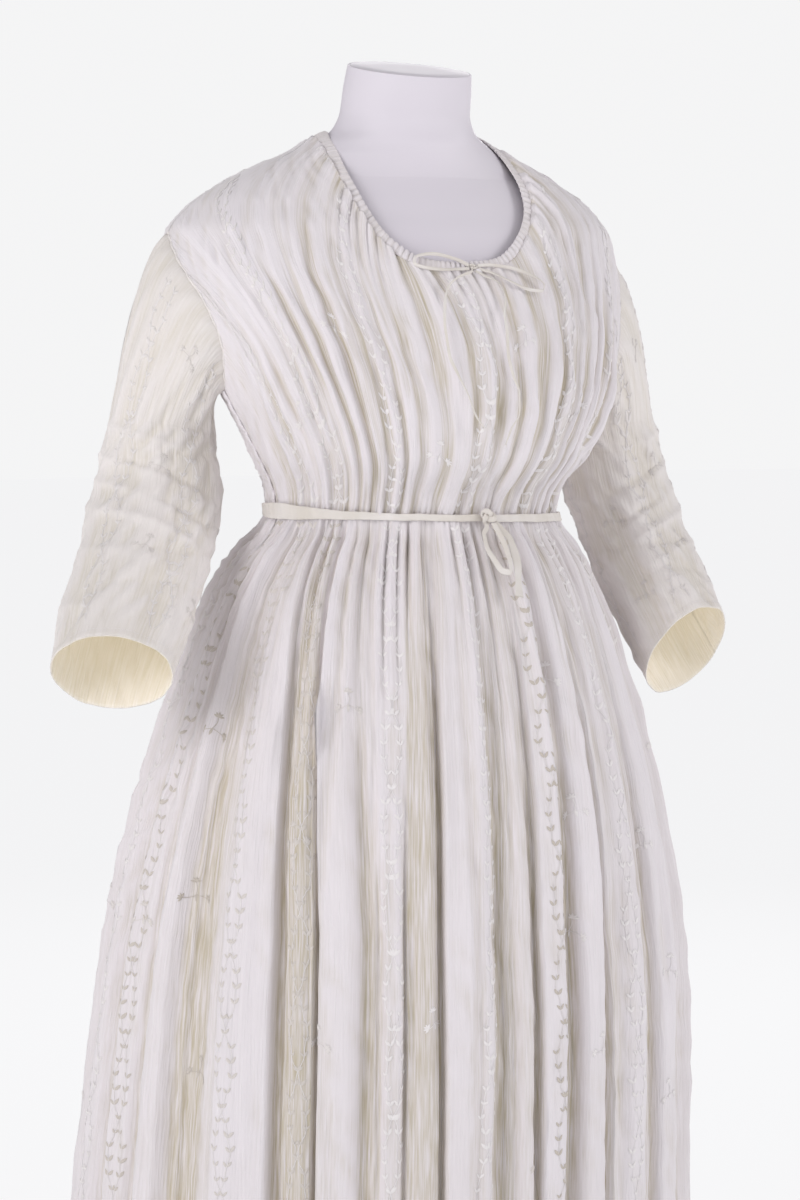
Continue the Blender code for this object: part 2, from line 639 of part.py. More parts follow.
def add_cord(name, rows, diameter, material):
    """Tie of round section along its route, with filled ends"""
    curve = bpy.data.curves.new(name, "CURVE")
    curve.dimensions = "3D"
    curve.bevel_depth = diameter / 2
    curve.bevel_resolution = 2
    curve.use_fill_caps = True
    places = route(rows, 3.4 * diameter)
    spline = curve.splines.new("POLY")
    spline.points.add(len(places) - 1)
    for point, place in zip(spline.points, places):
        point.co = (*place, 1.0)
    curve.materials.append(material)
    obj = bpy.data.objects.new(name, curve)
    bpy.context.scene.collection.objects.link(obj)
    return obj


def add_ribbon(name, rows, width, material):
    """Flat tie along its route, its broad side facing out"""
    places = route(rows, 0.008)
    ahead = unit(np.gradient(places, axis=0))
    angle = np.arctan2(places[:, 0], -places[:, 1])
    face = np.stack([np.sin(angle), -np.cos(angle), 0 * angle], -1)
    face = unit(face - ahead * np.sum(face * ahead, 1)[:, None])
    across = np.cross(ahead, face)
    thick = TAPE_WALL / 2
    outer = np.stack([places + across * s * width / 2 + face * thick for s in (-1, 1)], 0)
    inner = np.stack([places + across * s * width / 2 - face * thick for s in (-1, 1)], 0)
    return add_wall(name, inner, outer, False, material)


def make_form(material):
    """Smooth torso just inside the gown, then a neck cut off on a slope"""
    sides = 32
    turn = np.arange(sides) * 2 * pi / sides
    rings = []
    for level in FORM:
        at = np.maximum(level["height"], BELT_HEIGHT) + 0 * turn
        ring = hull_point(turn, at) - hull_out(turn, at) * level["inside"]
        ring[:, :2] *= level["share"]
        ring[:, 2] += level["height"] - at
        rings.append(ring)
    for level in FORM_NECK:
        depth = np.where(np.cos(turn) > 0, level["front"], level["back"])
        y = level["middle"] - depth * np.cos(turn)
        z = level["height"] + level["slope"] * (y - level["middle"])
        rings.append(np.stack([level["half_width"] * np.sin(turn), y, z], -1))
    return add_rings("dress_form", np.array(rings), material)


def make_stand(material):
    sides = 48
    turn = np.arange(sides) * 2 * pi / sides
    circle = np.stack([np.cos(turn), np.sin(turn), 0 * turn], -1)
    rim = BASE_RADIUS - BASE_BEVEL
    levels = ((rim, 0.0), (BASE_RADIUS, BASE_BEVEL), (BASE_RADIUS, BASE_HEIGHT - BASE_BEVEL), (rim, BASE_HEIGHT))
    rings = [circle * radius + np.array([0, 0, height]) for radius, height in levels]
    add_rings("stand_base", np.array(rings), material)
    ends = (BASE_HEIGHT + GAP, FORM_BOTTOM - GAP)
    rings = [circle[::2] * POLE_RADIUS + np.array([0, 0, height]) for height in ends]
    add_rings("stand_pole", np.array(rings), material)


def main():
    for obj in list(bpy.data.objects):
        bpy.data.objects.remove(obj, do_unlink=True)
    materials = {}
    for name, (colour, roughness, metallic) in MATERIALS.items():
        material = bpy.data.materials.new(name)
        material.use_nodes = True
        shader = material.node_tree.nodes["Principled BSDF"]
        shader.inputs["Base Color"].default_value = (*colour, 1.0)
        shader.inputs["Roughness"].default_value = roughness
        shader.inputs["Metallic"].default_value = metallic
        materials[name] = material
    muslin, tape = materials["white_muslin"], materials["white_tape"]
    make_bodice("bodice_front", BODICE_FRONT, True, muslin)
    make_bodice("bodice_back", BODICE_BACK, False, muslin)
    make_skirt("skirt_front", SKIRT_FRONT, True, muslin)
    make_skirt("skirt_back", SKIRT_BACK, False, muslin)
    make_sleeve("sleeve_right", SLEEVE_RIGHT, -1, muslin)
    make_sleeve("sleeve_left", SLEEVE_LEFT, 1, muslin)
    make_casing(muslin)
    make_tape(tape)
    neck_angle = radians(NECK_KNOT[0])
    add_lump("neck_knot", on_hull(neck_angle, NECK_KNOT[1], 0.0063), (0.0045, 0.0030, 0.0035), 0.3, tape)
    waist_angle = radians(WAIST_KNOT[0])
    add_lump("waist_knot", on_hull(waist_angle, WAIST_KNOT[1], 0.0136), (0.0095, 0.0050, 0.0085), 0.2, tape)
    for name, rows in (
        ("neck_loop_right", NECK_LOOP_RIGHT),
        ("neck_loop_left", NECK_LOOP_LEFT),
        ("neck_tail_right", NECK_TAIL_RIGHT),
        ("neck_tail_left", NECK_TAIL_LEFT),
    ):
        add_cord(name, rows, NECK_CORD, tape)
    add_ribbon("waist_loop", WAIST_LOOP, 0.006, tape)
    add_ribbon("waist_tail", WAIST_TAIL, 0.010, tape)
    make_form(materials["form_cover"])
    make_stand(materials["steel_stand"])


main()
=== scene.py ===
"""The looks of a white muslin regency gown on its dress form.

The gown is drawn on the same smooth hull as its solids. Folds, creases and gathers are
heights above that hull, and the embroidery is laid on the finished sheets.
"""

from math import pi, radians

import bpy
import numpy as np
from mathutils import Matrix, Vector


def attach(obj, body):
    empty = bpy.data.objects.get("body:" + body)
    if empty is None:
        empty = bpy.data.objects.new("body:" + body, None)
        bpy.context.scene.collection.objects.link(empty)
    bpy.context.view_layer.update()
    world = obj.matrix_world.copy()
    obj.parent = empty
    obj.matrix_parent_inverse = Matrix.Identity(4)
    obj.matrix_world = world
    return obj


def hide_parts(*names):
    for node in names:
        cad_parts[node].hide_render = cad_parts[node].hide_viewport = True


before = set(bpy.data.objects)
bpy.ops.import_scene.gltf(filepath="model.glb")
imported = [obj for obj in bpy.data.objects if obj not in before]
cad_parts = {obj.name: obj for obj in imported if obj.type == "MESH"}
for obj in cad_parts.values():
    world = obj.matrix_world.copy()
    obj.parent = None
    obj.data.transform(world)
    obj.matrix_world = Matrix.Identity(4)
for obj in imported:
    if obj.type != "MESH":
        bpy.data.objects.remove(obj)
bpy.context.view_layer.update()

# Sizes that the solids share
WALL = 0.0016
SEAM = 0.00015
HEM_HEIGHT = 0.018
COLUMN_BEND = 7
BELT_HEIGHT = 0.9525
BELT_TILT = 0.0055
NECK_BACK = 1.321
NECK_SIDE = 1.331
CASING_WIDTH = 0.010
SHOULDER_TIP = 1.231
NECK_SHARE = 0.52
SHOULDER_SHARE = 0.80
ARMHOLE_HEIGHT = 1.1535
ARMHOLE_HALF_HEIGHT = 0.0775
ARMHOLE_HALF_WIDTH = 0.046
TAPE_WIDTH = 0.0115
TAPE_LIFT = 0.0072
TAPE_WALL = 0.0010

# Sizes of the finer form
NECK_GATHER = 0.0046
NECK_GATHER_REACH = 0.17
BELT_GATHER = 0.0026
BELT_GATHER_REACH = 0.11
THREAD_LIFT = 0.00025
LEAF_LENGTH = 0.0080
LEAF_WIDTH = 0.0032
LEAF_RISE = 0.0008
STEM_WIDTH = 0.0007
CUFF_HEM = 0.009
TAIL_LIFT = 0.0078
HALF_DOWN = 0.42
TURNED_HEM = 0.012


def table(columns, *rows):
    """Rows of numbers under named columns"""
    return np.array(list(rows), dtype=[(name, float) for name in columns.split()])


HULL = table(
    "height half_width front back middle shift",
    (0.000, 0.334, 0.286, 0.292, 0.082, 0.000),
    (0.266, 0.315, 0.270, 0.274, 0.063, 0.000),
    (0.466, 0.300, 0.256, 0.260, 0.041, 0.000),
    (0.566, 0.286, 0.244, 0.248, 0.034, 0.000),
    (0.666, 0.264, 0.226, 0.229, 0.027, 0.000),
    (0.766, 0.234, 0.200, 0.203, 0.021, 0.000),
    (0.866, 0.198, 0.166, 0.172, 0.016, 0.000),
    (0.916, 0.168, 0.136, 0.141, 0.009, 0.000),
    (0.936, 0.153, 0.119, 0.121, 0.003, 0.000),
    (0.954, 0.146, 0.110, 0.110, 0.000, 0.000),
    (0.974, 0.148, 0.119, 0.111, 0.000, 0.000),
    (1.016, 0.170, 0.146, 0.117, -0.006, 0.001),
    (1.066, 0.198, 0.157, 0.121, -0.002, 0.002),
    (1.116, 0.220, 0.159, 0.124, 0.012, 0.002),
    (1.156, 0.235, 0.161, 0.122, 0.030, 0.000),
    (1.196, 0.243, 0.159, 0.118, 0.050, 0.000),
    (1.231, 0.238, 0.152, 0.110, 0.062, 0.003),
    (1.256, 0.219, 0.139, 0.100, 0.066, 0.006),
    (1.276, 0.190, 0.123, 0.088, 0.064, 0.006),
    (1.296, 0.151, 0.103, 0.072, 0.058, 0.004),
    (1.314, 0.110, 0.080, 0.056, 0.046, 0.002),
    (1.331, 0.080, 0.047, 0.042, 0.032, 0.000),
)

NECKLINE = table(
    "share x height",
    (0.00, 0.000, 1.198),
    (0.20, 0.044, 1.205),
    (0.38, 0.074, 1.230),
    (0.53, 0.088, 1.256),
    (0.70, 0.093, 1.284),
    (0.86, 0.091, 1.309),
    (1.00, 0.080, 1.331),
)

# Valleys of the bodice, from the wearer's right to left in front and from left to right
# behind, the swell to the next valley, and its lean: the crest lies towards -1 or 1
BODICE_FRONT = table(
    "top belt head chest waist lean",
    (-1.0000, -1.000, 0.000, 0.002, 0.0016, 0.0),
    (-0.9333, -0.800, 0.000, 0.003, 0.0022, 0.3),
    (-0.8667, -0.720, 0.000, 0.004, 0.0016, 0.4),
    (-0.8000, -0.650, 0.000, 0.003, 0.0022, 0.2),
    (-0.6600, -0.580, 0.001, 0.006, 0.0028, 0.5),
    (-0.5200, -0.510, 0.002, 0.003, 0.0016, 0.2),
    (-0.4550, -0.455, 0.002, 0.006, 0.0022, -0.5),
    (-0.3950, -0.390, 0.003, 0.007, 0.0028, -0.7),
    (-0.3250, -0.330, 0.002, 0.003, 0.0016, 0.3),
    (-0.2650, -0.275, 0.003, 0.007, 0.0028, -0.6),
    (-0.1950, -0.215, 0.002, 0.003, 0.0016, 0.4),
    (-0.1400, -0.140, 0.003, 0.007, 0.0028, 0.7),
    (-0.0700, -0.030, 0.002, 0.005, 0.0022, -0.3),
    (0.0050, 0.055, 0.002, 0.003, 0.0016, 0.2),
    (0.0700, 0.130, 0.003, 0.007, 0.0028, -0.7),
    (0.1450, 0.215, 0.002, 0.004, 0.0022, 0.5),
    (0.2150, 0.300, 0.003, 0.007, 0.0028, -0.5),
    (0.2900, 0.370, 0.002, 0.003, 0.0016, 0.3),
    (0.3700, 0.410, 0.003, 0.006, 0.0028, 0.6),
    (0.4550, 0.465, 0.002, 0.005, 0.0022, -0.4),
    (0.5200, 0.515, 0.001, 0.003, 0.0016, 0.2),
    (0.6600, 0.590, 0.001, 0.005, 0.0028, -0.5),
    (0.8000, 0.650, 0.000, 0.003, 0.0022, 0.3),
    (0.8667, 0.720, 0.000, 0.004, 0.0016, -0.3),
    (0.9333, 0.800, 0.000, 0.003, 0.0022, -0.2),
    (1.0000, 1.000, 0.000, 0.002, 0.0016, 0.0),
)
BODICE_BACK = table(
    "top belt head chest waist lean",
    (-1.0000, -1.000, 0.000, 0.002, 0.0016, 0.0),
    (-0.9333, -0.760, 0.000, 0.002, 0.0022, 0.3),
    (-0.8667, -0.660, 0.000, 0.003, 0.0028, 0.3),
    (-0.8000, -0.570, 0.000, 0.002, 0.0016, 0.2),
    (-0.6600, -0.500, 0.000, 0.003, 0.0022, -0.4),
    (-0.5200, -0.420, 0.001, 0.004, 0.0028, 0.5),
    (-0.4000, -0.330, 0.002, 0.003, 0.0016, -0.3),
    (-0.2700, -0.240, 0.003, 0.005, 0.0028, 0.6),
    (-0.1200, -0.100, 0.002, 0.003, 0.0016, -0.3),
    (0.0100, 0.020, 0.003, 0.005, 0.0022, 0.5),
    (0.1400, 0.140, 0.002, 0.003, 0.0028, -0.6),
    (0.2800, 0.270, 0.003, 0.004, 0.0016, -0.4),
    (0.4000, 0.330, 0.002, 0.003, 0.0022, 0.3),
    (0.5200, 0.420, 0.000, 0.004, 0.0028, -0.5),
    (0.6600, 0.500, 0.000, 0.002, 0.0016, 0.3),
    (0.8000, 0.570, 0.000, 0.003, 0.0022, -0.3),
    (0.8667, 0.660, 0.000, 0.002, 0.0028, -0.2),
    (0.9333, 0.760, 0.000, 0.002, 0.0016, 0.0),
    (1.0000, 1.000, 0.000, 0.002, 0.0016, 0.0),
)

# Valleys of the skirt in the same way; the last column is how much painted beige shade covers single cloth
# there, where light comes through it
SKIRT_FRONT = table(
    "belt half hem top_swell half_swell hem_swell lean sheer",
    (-1.000, -1.000, -1.000, 0.0018, 0.012, 0.014, 0.4, 0.1),
    (-0.870, -0.860, -0.845, 0.0027, 0.016, 0.020, -0.5, 0.12),
    (-0.780, -0.745, -0.705, 0.0027, 0.022, 0.026, 0.95, 0.0),
    (-0.600, -0.486, -0.428, 0.0018, 0.004, 0.003, 0.2, 1.0),
    (-0.527, -0.420, -0.365, 0.0027, 0.018, 0.017, -0.95, 0.0),
    (-0.388, -0.287, -0.250, 0.0023, 0.013, 0.015, 0.3, 0.0),
    (-0.239, -0.219, -0.177, 0.0032, 0.006, 0.005, 0.2, 0.8),
    (-0.160, -0.150, -0.115, 0.0032, 0.024, 0.022, -0.95, 0.0),
    (0.040, 0.008, 0.030, 0.0018, 0.011, 0.012, 0.12, 0.25),
    (0.125, 0.078, 0.088, 0.0018, 0.017, 0.020, -0.95, 0.0),
    (0.230, 0.175, 0.160, 0.0027, 0.019, 0.021, -0.5, 0.0),
    (0.362, 0.290, 0.280, 0.0023, 0.010, 0.010, 0.2, 0.0),
    (0.530, 0.446, 0.427, 0.0027, 0.015, 0.017, -0.7, 0.0),
    (0.690, 0.640, 0.620, 0.0023, 0.014, 0.018, 0.5, 0.1),
    (0.840, 0.820, 0.800, 0.0023, 0.012, 0.014, -0.5, 0.1),
    (1.000, 1.000, 1.000, 0.0018, 0.010, 0.012, 0.0, 0.1),
)
SKIRT_BACK = table(
    "belt half hem top_swell half_swell hem_swell lean sheer",
    (-1.000, -1.000, -1.000, 0.0018, 0.012, 0.014, 0.0, 0.1),
    (-0.830, -0.850, -0.850, 0.0027, 0.018, 0.020, 0.5, 0.1),
    (-0.680, -0.660, -0.640, 0.0023, 0.012, 0.014, -0.3, 0.6),
    (-0.520, -0.520, -0.530, 0.0027, 0.022, 0.026, 0.7, 0.0),
    (-0.370, -0.340, -0.320, 0.0023, 0.014, 0.014, -0.4, 0.2),
    (-0.240, -0.230, -0.220, 0.0032, 0.024, 0.026, -0.7, 0.0),
    (-0.090, -0.040, -0.010, 0.0023, 0.014, 0.016, 0.3, 0.8),
    (0.040, 0.080, 0.100, 0.0027, 0.022, 0.024, 0.6, 0.0),
    (0.200, 0.260, 0.300, 0.0023, 0.012, 0.012, -0.3, 0.5),
    (0.330, 0.370, 0.390, 0.0027, 0.022, 0.026, -0.6, 0.0),
    (0.490, 0.550, 0.570, 0.0023, 0.014, 0.016, 0.4, 0.1),
    (0.650, 0.690, 0.700, 0.0027, 0.018, 0.020, -0.5, 0.4),
    (0.830, 0.850, 0.850, 0.0023, 0.012, 0.014, 0.2, 0.1),
    (1.000, 1.000, 1.000, 0.0018, 0.010, 0.012, 0.0, 0.1),
)

# Long creases between the folds: where each runs at the panel's two ends, the stretch that
# it covers, its half width in metres, its height and its lean
BODICE_FRONT_CREASES = table(
    "first last start end width height lean",
    (-0.900, -0.900, 0.05, 0.55, 0.0070, 0.0012, 0.5),
    (-0.755, -0.740, 0.30, 0.98, 0.0080, 0.0016, -0.4),
    (-0.700, -0.690, 0.00, 0.70, 0.0060, 0.0014, 0.6),
    (-0.610, -0.600, 0.20, 0.96, 0.0090, 0.0018, 0.3),
    (-0.575, -0.560, 0.00, 0.40, 0.0050, -0.0012, 0.0),
    (-0.490, -0.485, 0.10, 0.85, 0.0050, 0.0014, -0.5),
    (-0.430, -0.420, 0.35, 1.00, 0.0040, 0.0015, 0.4),
    (-0.365, -0.350, 0.00, 0.60, 0.0050, -0.0014, 0.2),
    (-0.342, -0.338, 0.45, 1.00, 0.0036, 0.0013, -0.6),
    (-0.300, -0.290, 0.05, 0.70, 0.0050, 0.0016, 0.5),
    (-0.235, -0.240, 0.40, 1.00, 0.0042, -0.0013, 0.0),
    (-0.180, -0.165, 0.00, 0.55, 0.0050, 0.0015, -0.6),
    (-0.110, -0.105, 0.30, 1.00, 0.0045, 0.0014, 0.5),
    (-0.045, -0.035, 0.05, 0.80, 0.0040, -0.0012, 0.2),
    (-0.020, -0.015, 0.25, 1.00, 0.0034, 0.0012, -0.3),
    (0.030, 0.030, 0.00, 0.60, 0.0040, 0.0014, 0.4),
    (0.050, 0.055, 0.45, 1.00, 0.0040, -0.0013, 0.1),
    (0.105, 0.100, 0.05, 0.75, 0.0050, 0.0016, -0.5),
    (0.175, 0.180, 0.30, 1.00, 0.0042, 0.0014, 0.5),
    (0.250, 0.245, 0.00, 0.60, 0.0046, -0.0013, -0.2),
    (0.315, 0.320, 0.35, 1.00, 0.0046, 0.0015, 0.6),
    (0.335, 0.340, 0.00, 0.50, 0.0050, 0.0015, -0.4),
    (0.405, 0.400, 0.15, 0.90, 0.0050, 0.0014, -0.5),
    (0.490, 0.480, 0.00, 0.70, 0.0060, 0.0015, 0.3),
    (0.560, 0.570, 0.25, 0.95, 0.0090, 0.0017, -0.4),
    (0.620, 0.610, 0.00, 0.60, 0.0060, -0.0012, 0.2),
    (0.720, 0.730, 0.20, 0.97, 0.0090, 0.0015, 0.5),
    (0.760, 0.770, 0.00, 0.50, 0.0060, 0.0013, -0.3),
    (0.900, 0.905, 0.05, 0.60, 0.0070, 0.0012, 0.3),
)
BODICE_BACK_CREASES = table(
    "first last start end width height lean",
    (-0.900, -0.900, 0.05, 0.55, 0.0070, 0.0010, 0.4),
    (-0.740, -0.730, 0.00, 0.70, 0.0080, 0.0013, -0.5),
    (-0.590, -0.600, 0.25, 0.97, 0.0080, 0.0012, 0.5),
    (-0.460, -0.455, 0.00, 0.60, 0.0060, 0.0014, -0.3),
    (-0.335, -0.340, 0.35, 1.00, 0.0060, 0.0013, 0.6),
    (-0.220, -0.210, 0.00, 0.75, 0.0060, -0.0012, 0.0),
    (-0.170, -0.175, 0.30, 1.00, 0.0050, 0.0013, -0.5),
    (-0.050, -0.055, 0.05, 0.80, 0.0060, 0.0014, 0.4),
    (0.070, 0.065, 0.25, 1.00, 0.0050, -0.0012, 0.2),
    (0.110, 0.110, 0.00, 0.55, 0.0060, 0.0013, -0.5),
    (0.210, 0.205, 0.35, 1.00, 0.0060, 0.0013, 0.5),
    (0.340, 0.345, 0.00, 0.70, 0.0060, 0.0013, -0.4),
    (0.450, 0.460, 0.30, 1.00, 0.0070, -0.0012, 0.1),
    (0.590, 0.600, 0.05, 0.85, 0.0080, 0.0013, 0.5),
    (0.740, 0.730, 0.10, 0.95, 0.0080, 0.0012, -0.4),
    (0.900, 0.900, 0.00, 0.60, 0.0070, 0.0010, 0.3),
)
SKIRT_FRONT_CREASES = table(
    "first last start end width height lean",
    (-0.945, -0.925, 0.02, 0.90, 0.010, 0.0030, 0.5),
    (-0.890, -0.880, 0.00, 0.60, 0.006, 0.0022, -0.4),
    (-0.825, -0.790, 0.03, 1.00, 0.009, 0.0030, 0.6),
    (-0.740, -0.660, 0.00, 0.45, 0.007, 0.0026, -0.5),
    (-0.700, -0.600, 0.02, 1.00, 0.009, -0.0034, 0.3),
    (-0.670, -0.550, 0.08, 0.85, 0.010, 0.0036, -0.6),
    (-0.640, -0.480, 0.00, 0.70, 0.006, 0.0022, 0.4),
    (-0.565, -0.400, 0.05, 1.00, 0.006, -0.0016, 0.0),
    (-0.495, -0.330, 0.00, 0.50, 0.007, 0.0028, -0.5),
    (-0.455, -0.305, 0.04, 1.00, 0.009, -0.0026, 0.2),
    (-0.420, -0.280, 0.00, 0.30, 0.006, 0.0022, 0.5),
    (-0.335, -0.225, 0.02, 0.75, 0.008, 0.0026, 0.5),
    (-0.290, -0.200, 0.20, 1.00, 0.008, -0.0020, 0.0),
    (-0.200, -0.145, 0.00, 0.55, 0.006, 0.0022, -0.4),
    (-0.120, -0.090, 0.00, 0.35, 0.007, 0.0030, -0.5),
    (-0.080, -0.050, 0.10, 1.00, 0.010, -0.0032, 0.4),
    (-0.040, -0.015, 0.00, 0.60, 0.008, 0.0030, 0.6),
    (0.005, 0.005, 0.25, 1.00, 0.007, 0.0020, -0.3),
    (0.080, 0.065, 0.00, 0.70, 0.006, -0.0020, 0.1),
    (0.165, 0.130, 0.05, 1.00, 0.006, 0.0016, 0.4),
    (0.195, 0.145, 0.00, 0.40, 0.005, 0.0020, -0.4),
    (0.275, 0.200, 0.00, 0.45, 0.008, 0.0028, 0.6),
    (0.310, 0.235, 0.06, 1.00, 0.009, -0.0034, -0.3),
    (0.335, 0.255, 0.15, 0.80, 0.007, 0.0026, -0.5),
    (0.420, 0.330, 0.00, 0.65, 0.007, 0.0026, -0.4),
    (0.470, 0.375, 0.05, 1.00, 0.009, -0.0024, 0.3),
    (0.585, 0.490, 0.00, 0.50, 0.008, 0.0028, 0.5),
    (0.630, 0.540, 0.10, 1.00, 0.010, -0.0032, 0.0),
    (0.740, 0.690, 0.00, 0.70, 0.008, 0.0026, -0.5),
    (0.790, 0.745, 0.20, 1.00, 0.009, 0.0024, 0.3),
    (0.890, 0.870, 0.00, 0.60, 0.008, 0.0024, -0.3),
    (0.950, 0.930, 0.10, 1.00, 0.009, -0.0020, 0.0),
)
SKIRT_BACK_CREASES = table(
    "first last start end width height lean",
    (-0.915, -0.920, 0.00, 0.80, 0.010, 0.0028, 0.4),
    (-0.770, -0.750, 0.05, 1.00, 0.009, 0.0030, -0.5),
    (-0.730, -0.700, 0.00, 0.40, 0.007, 0.0024, 0.5),
    (-0.600, -0.590, 0.10, 1.00, 0.010, -0.0026, 0.0),
    (-0.470, -0.470, 0.00, 0.55, 0.008, 0.0030, 0.6),
    (-0.430, -0.430, 0.08, 1.00, 0.010, -0.0034, -0.2),
    (-0.300, -0.270, 0.00, 0.70, 0.008, 0.0026, -0.4),
    (-0.180, -0.140, 0.05, 1.00, 0.010, -0.0032, 0.3),
    (-0.140, -0.090, 0.00, 0.45, 0.008, 0.0030, -0.6),
    (-0.030, 0.030, 0.10, 1.00, 0.009, 0.0026, 0.4),
    (0.110, 0.180, 0.00, 0.60, 0.008, 0.0028, 0.5),
    (0.150, 0.230, 0.06, 1.00, 0.010, -0.0032, 0.0),
    (0.265, 0.345, 0.00, 0.50, 0.007, 0.0024, -0.4),
    (0.400, 0.470, 0.05, 1.00, 0.010, -0.0030, 0.2),
    (0.440, 0.510, 0.00, 0.70, 0.008, 0.0028, -0.5),
    (0.570, 0.630, 0.10, 1.00, 0.009, 0.0028, 0.4),
    (0.740, 0.770, 0.00, 0.80, 0.009, 0.0028, -0.4),
    (0.915, 0.920, 0.05, 1.00, 0.009, 0.0024, 0.3),
)

SLEEVE_RIGHT = table(
    "out forth height broad deep outward forward",
    (0.240, 0.068, 1.040, 0.053, 0.051, 12, 2),
    (0.247, 0.060, 0.988, 0.060, 0.050, 14, 12),
    (0.274, 0.020, 0.925, 0.063, 0.048, 22, 26),
    (0.312, -0.030, 0.868, 0.063, 0.048, 26, 36),
    (0.350, -0.080, 0.812, 0.058, 0.052, 27, 42),
)
SLEEVE_LEFT = table(
    "out forth height broad deep outward forward",
    (0.253, 0.070, 1.040, 0.054, 0.052, 8, 2),
    (0.262, 0.062, 0.985, 0.055, 0.052, 10, 8),
    (0.271, 0.034, 0.918, 0.053, 0.052, 14, 22),
    (0.277, -0.010, 0.862, 0.051, 0.052, 20, 40),
    (0.284, -0.054, 0.811, 0.050, 0.054, 26, 56),
)

# Creases of the sleeves: level along the sleeve, place round it in degrees, the slant of the
# crease in levels, its reach in degrees, its width in levels and its height
SLEEVE_CREASES = table(
    "level turn slant reach width height",
    (0.30, 60, 0.20, 60, 0.10, 0.0016),
    (0.55, 140, -0.25, 70, 0.12, -0.0016),
    (0.85, 40, 0.30, 80, 0.10, 0.0018),
    (1.10, 110, 0.25, 60, 0.09, -0.0020),
    (1.30, 190, -0.20, 70, 0.11, 0.0018),
    (1.45, 70, 0.30, 70, 0.09, 0.0024),
    (1.65, 120, 0.20, 60, 0.08, -0.0024),
    (1.80, 30, -0.30, 60, 0.10, 0.0016),
    (1.95, 95, 0.25, 80, 0.09, 0.0022),
    (2.20, 160, -0.25, 70, 0.10, -0.0018),
    (2.45, 60, 0.20, 70, 0.10, 0.0016),
    (2.70, 250, 0.25, 80, 0.12, 0.0018),
    (2.95, 120, -0.20, 60, 0.10, -0.0014),
    (3.20, 20, 0.25, 70, 0.10, 0.0014),
    (1.20, 300, 0.30, 80, 0.11, 0.0018),
    (1.90, 280, -0.25, 80, 0.11, -0.0018),
    (2.30, 330, 0.20, 60, 0.10, 0.0016),
)

NECK_KNOT = (2.5, 1.1925)
NECK_LOOP_RIGHT = table(
    "angle height out",
    (1.45, 1.1940, 0.0068), (-1.6, 1.1990, 0.0085), (-7.5, 1.2030, 0.0105), (-11.5, 1.2000, 0.0105),
    (-12.0, 1.1940, 0.0105), (-9.0, 1.1895, 0.0100), (-5.0, 1.1885, 0.0090), (-1.4, 1.1897, 0.0078),
    (1.35, 1.1909, 0.0068),
)
NECK_LOOP_LEFT = table(
    "angle height out",
    (3.60, 1.1908, 0.0068), (6.4, 1.1870, 0.0080), (11.0, 1.1770, 0.0100), (16.0, 1.1690, 0.0105),
    (19.5, 1.1680, 0.0105), (20.5, 1.1740, 0.0105), (17.0, 1.1840, 0.0105), (11.0, 1.1915, 0.0095),
    (6.4, 1.1942, 0.0080), (3.55, 1.1939, 0.0068),
)
NECK_TAIL_RIGHT = table(
    "angle height out",
    (2.15, 1.1888, 0.0070), (0.6, 1.1845, 0.0085), (-2.6, 1.1790, 0.0090), (-6.0, 1.1680, 0.0092),
    (-7.8, 1.1530, 0.0092), (-9.6, 1.1280, 0.0096), (-10.0, 1.1060, 0.0096), (-8.8, 1.0890, 0.0096),
    (-6.6, 1.0700, 0.0096), (-5.0, 1.0550, 0.0094), (-2.5, 1.0440, 0.0092),
)
NECK_TAIL_LEFT = table(
    "angle height out",
    (2.85, 1.1887, 0.0068), (4.6, 1.1820, 0.0074), (7.4, 1.1750, 0.0076), (8.2, 1.1600, 0.0076),
    (7.0, 1.1450, 0.0076), (6.6, 1.1300, 0.0078), (6.0, 1.1040, 0.0082), (6.8, 1.0870, 0.0082),
    (8.4, 1.0720, 0.0082), (8.6, 1.0560, 0.0080), (6.4, 1.0410, 0.0080), (5.4, 1.0290, 0.0080),
)
WAIST_KNOT = (9.0, 0.9520)
WAIST_LOOP = table(
    "angle height out",
    (7.6, 0.9416, 0.0138), (7.1, 0.9380, 0.0150), (4.8, 0.9290, 0.0172), (4.2, 0.9180, 0.0180),
    (5.6, 0.9040, 0.0185), (7.3, 0.8940, 0.0190), (9.3, 0.8925, 0.0200), (10.4, 0.9010, 0.0200),
    (10.6, 0.9140, 0.0195), (10.6, 0.9300, 0.0176), (10.2, 0.9416, 0.0152),
)
WAIST_TAIL = table(
    "angle height out",
    (11.2, 0.9420, 0.0116), (13.4, 0.9340, 0.0122), (14.6, 0.9220, 0.0130), (13.8, 0.9050, 0.0135),
    (11.8, 0.8860, 0.0140), (10.6, 0.8710, 0.0145),
)

FORM = table(
    "height inside share",
    (0.800, 0.0010, 0.90),
    (0.850, 0.0010, 0.94),
    (0.905, 0.0010, 0.98),
    (0.954, 0.0007, 1.00),
    (0.974, 0.0020, 1.00),
    (1.016, 0.0060, 1.00),
    (1.066, 0.0055, 1.00),
    (1.116, 0.0045, 1.00),
    (1.156, 0.0045, 1.00),
    (1.196, 0.0065, 1.00),
    (1.231, 0.0065, 1.00),
    (1.256, 0.0065, 1.00),
    (1.276, 0.0065, 1.00),
    (1.290, 0.0065, 1.00),
)
FORM_NECK = table(
    "height half_width front back middle slope",
    (1.307, 0.118, 0.084, 0.060, 0.044, 0.00),
    (1.320, 0.094, 0.073, 0.057, 0.034, 0.00),
    (1.334, 0.0735, 0.0670, 0.0550, 0.0240, 0.02),
    (1.352, 0.0655, 0.0640, 0.0600, 0.0175, 0.07),
    (1.374, 0.0640, 0.0635, 0.0625, 0.0115, 0.14),
    (1.394, 0.0615, 0.0620, 0.0620, 0.0060, 0.20),
)
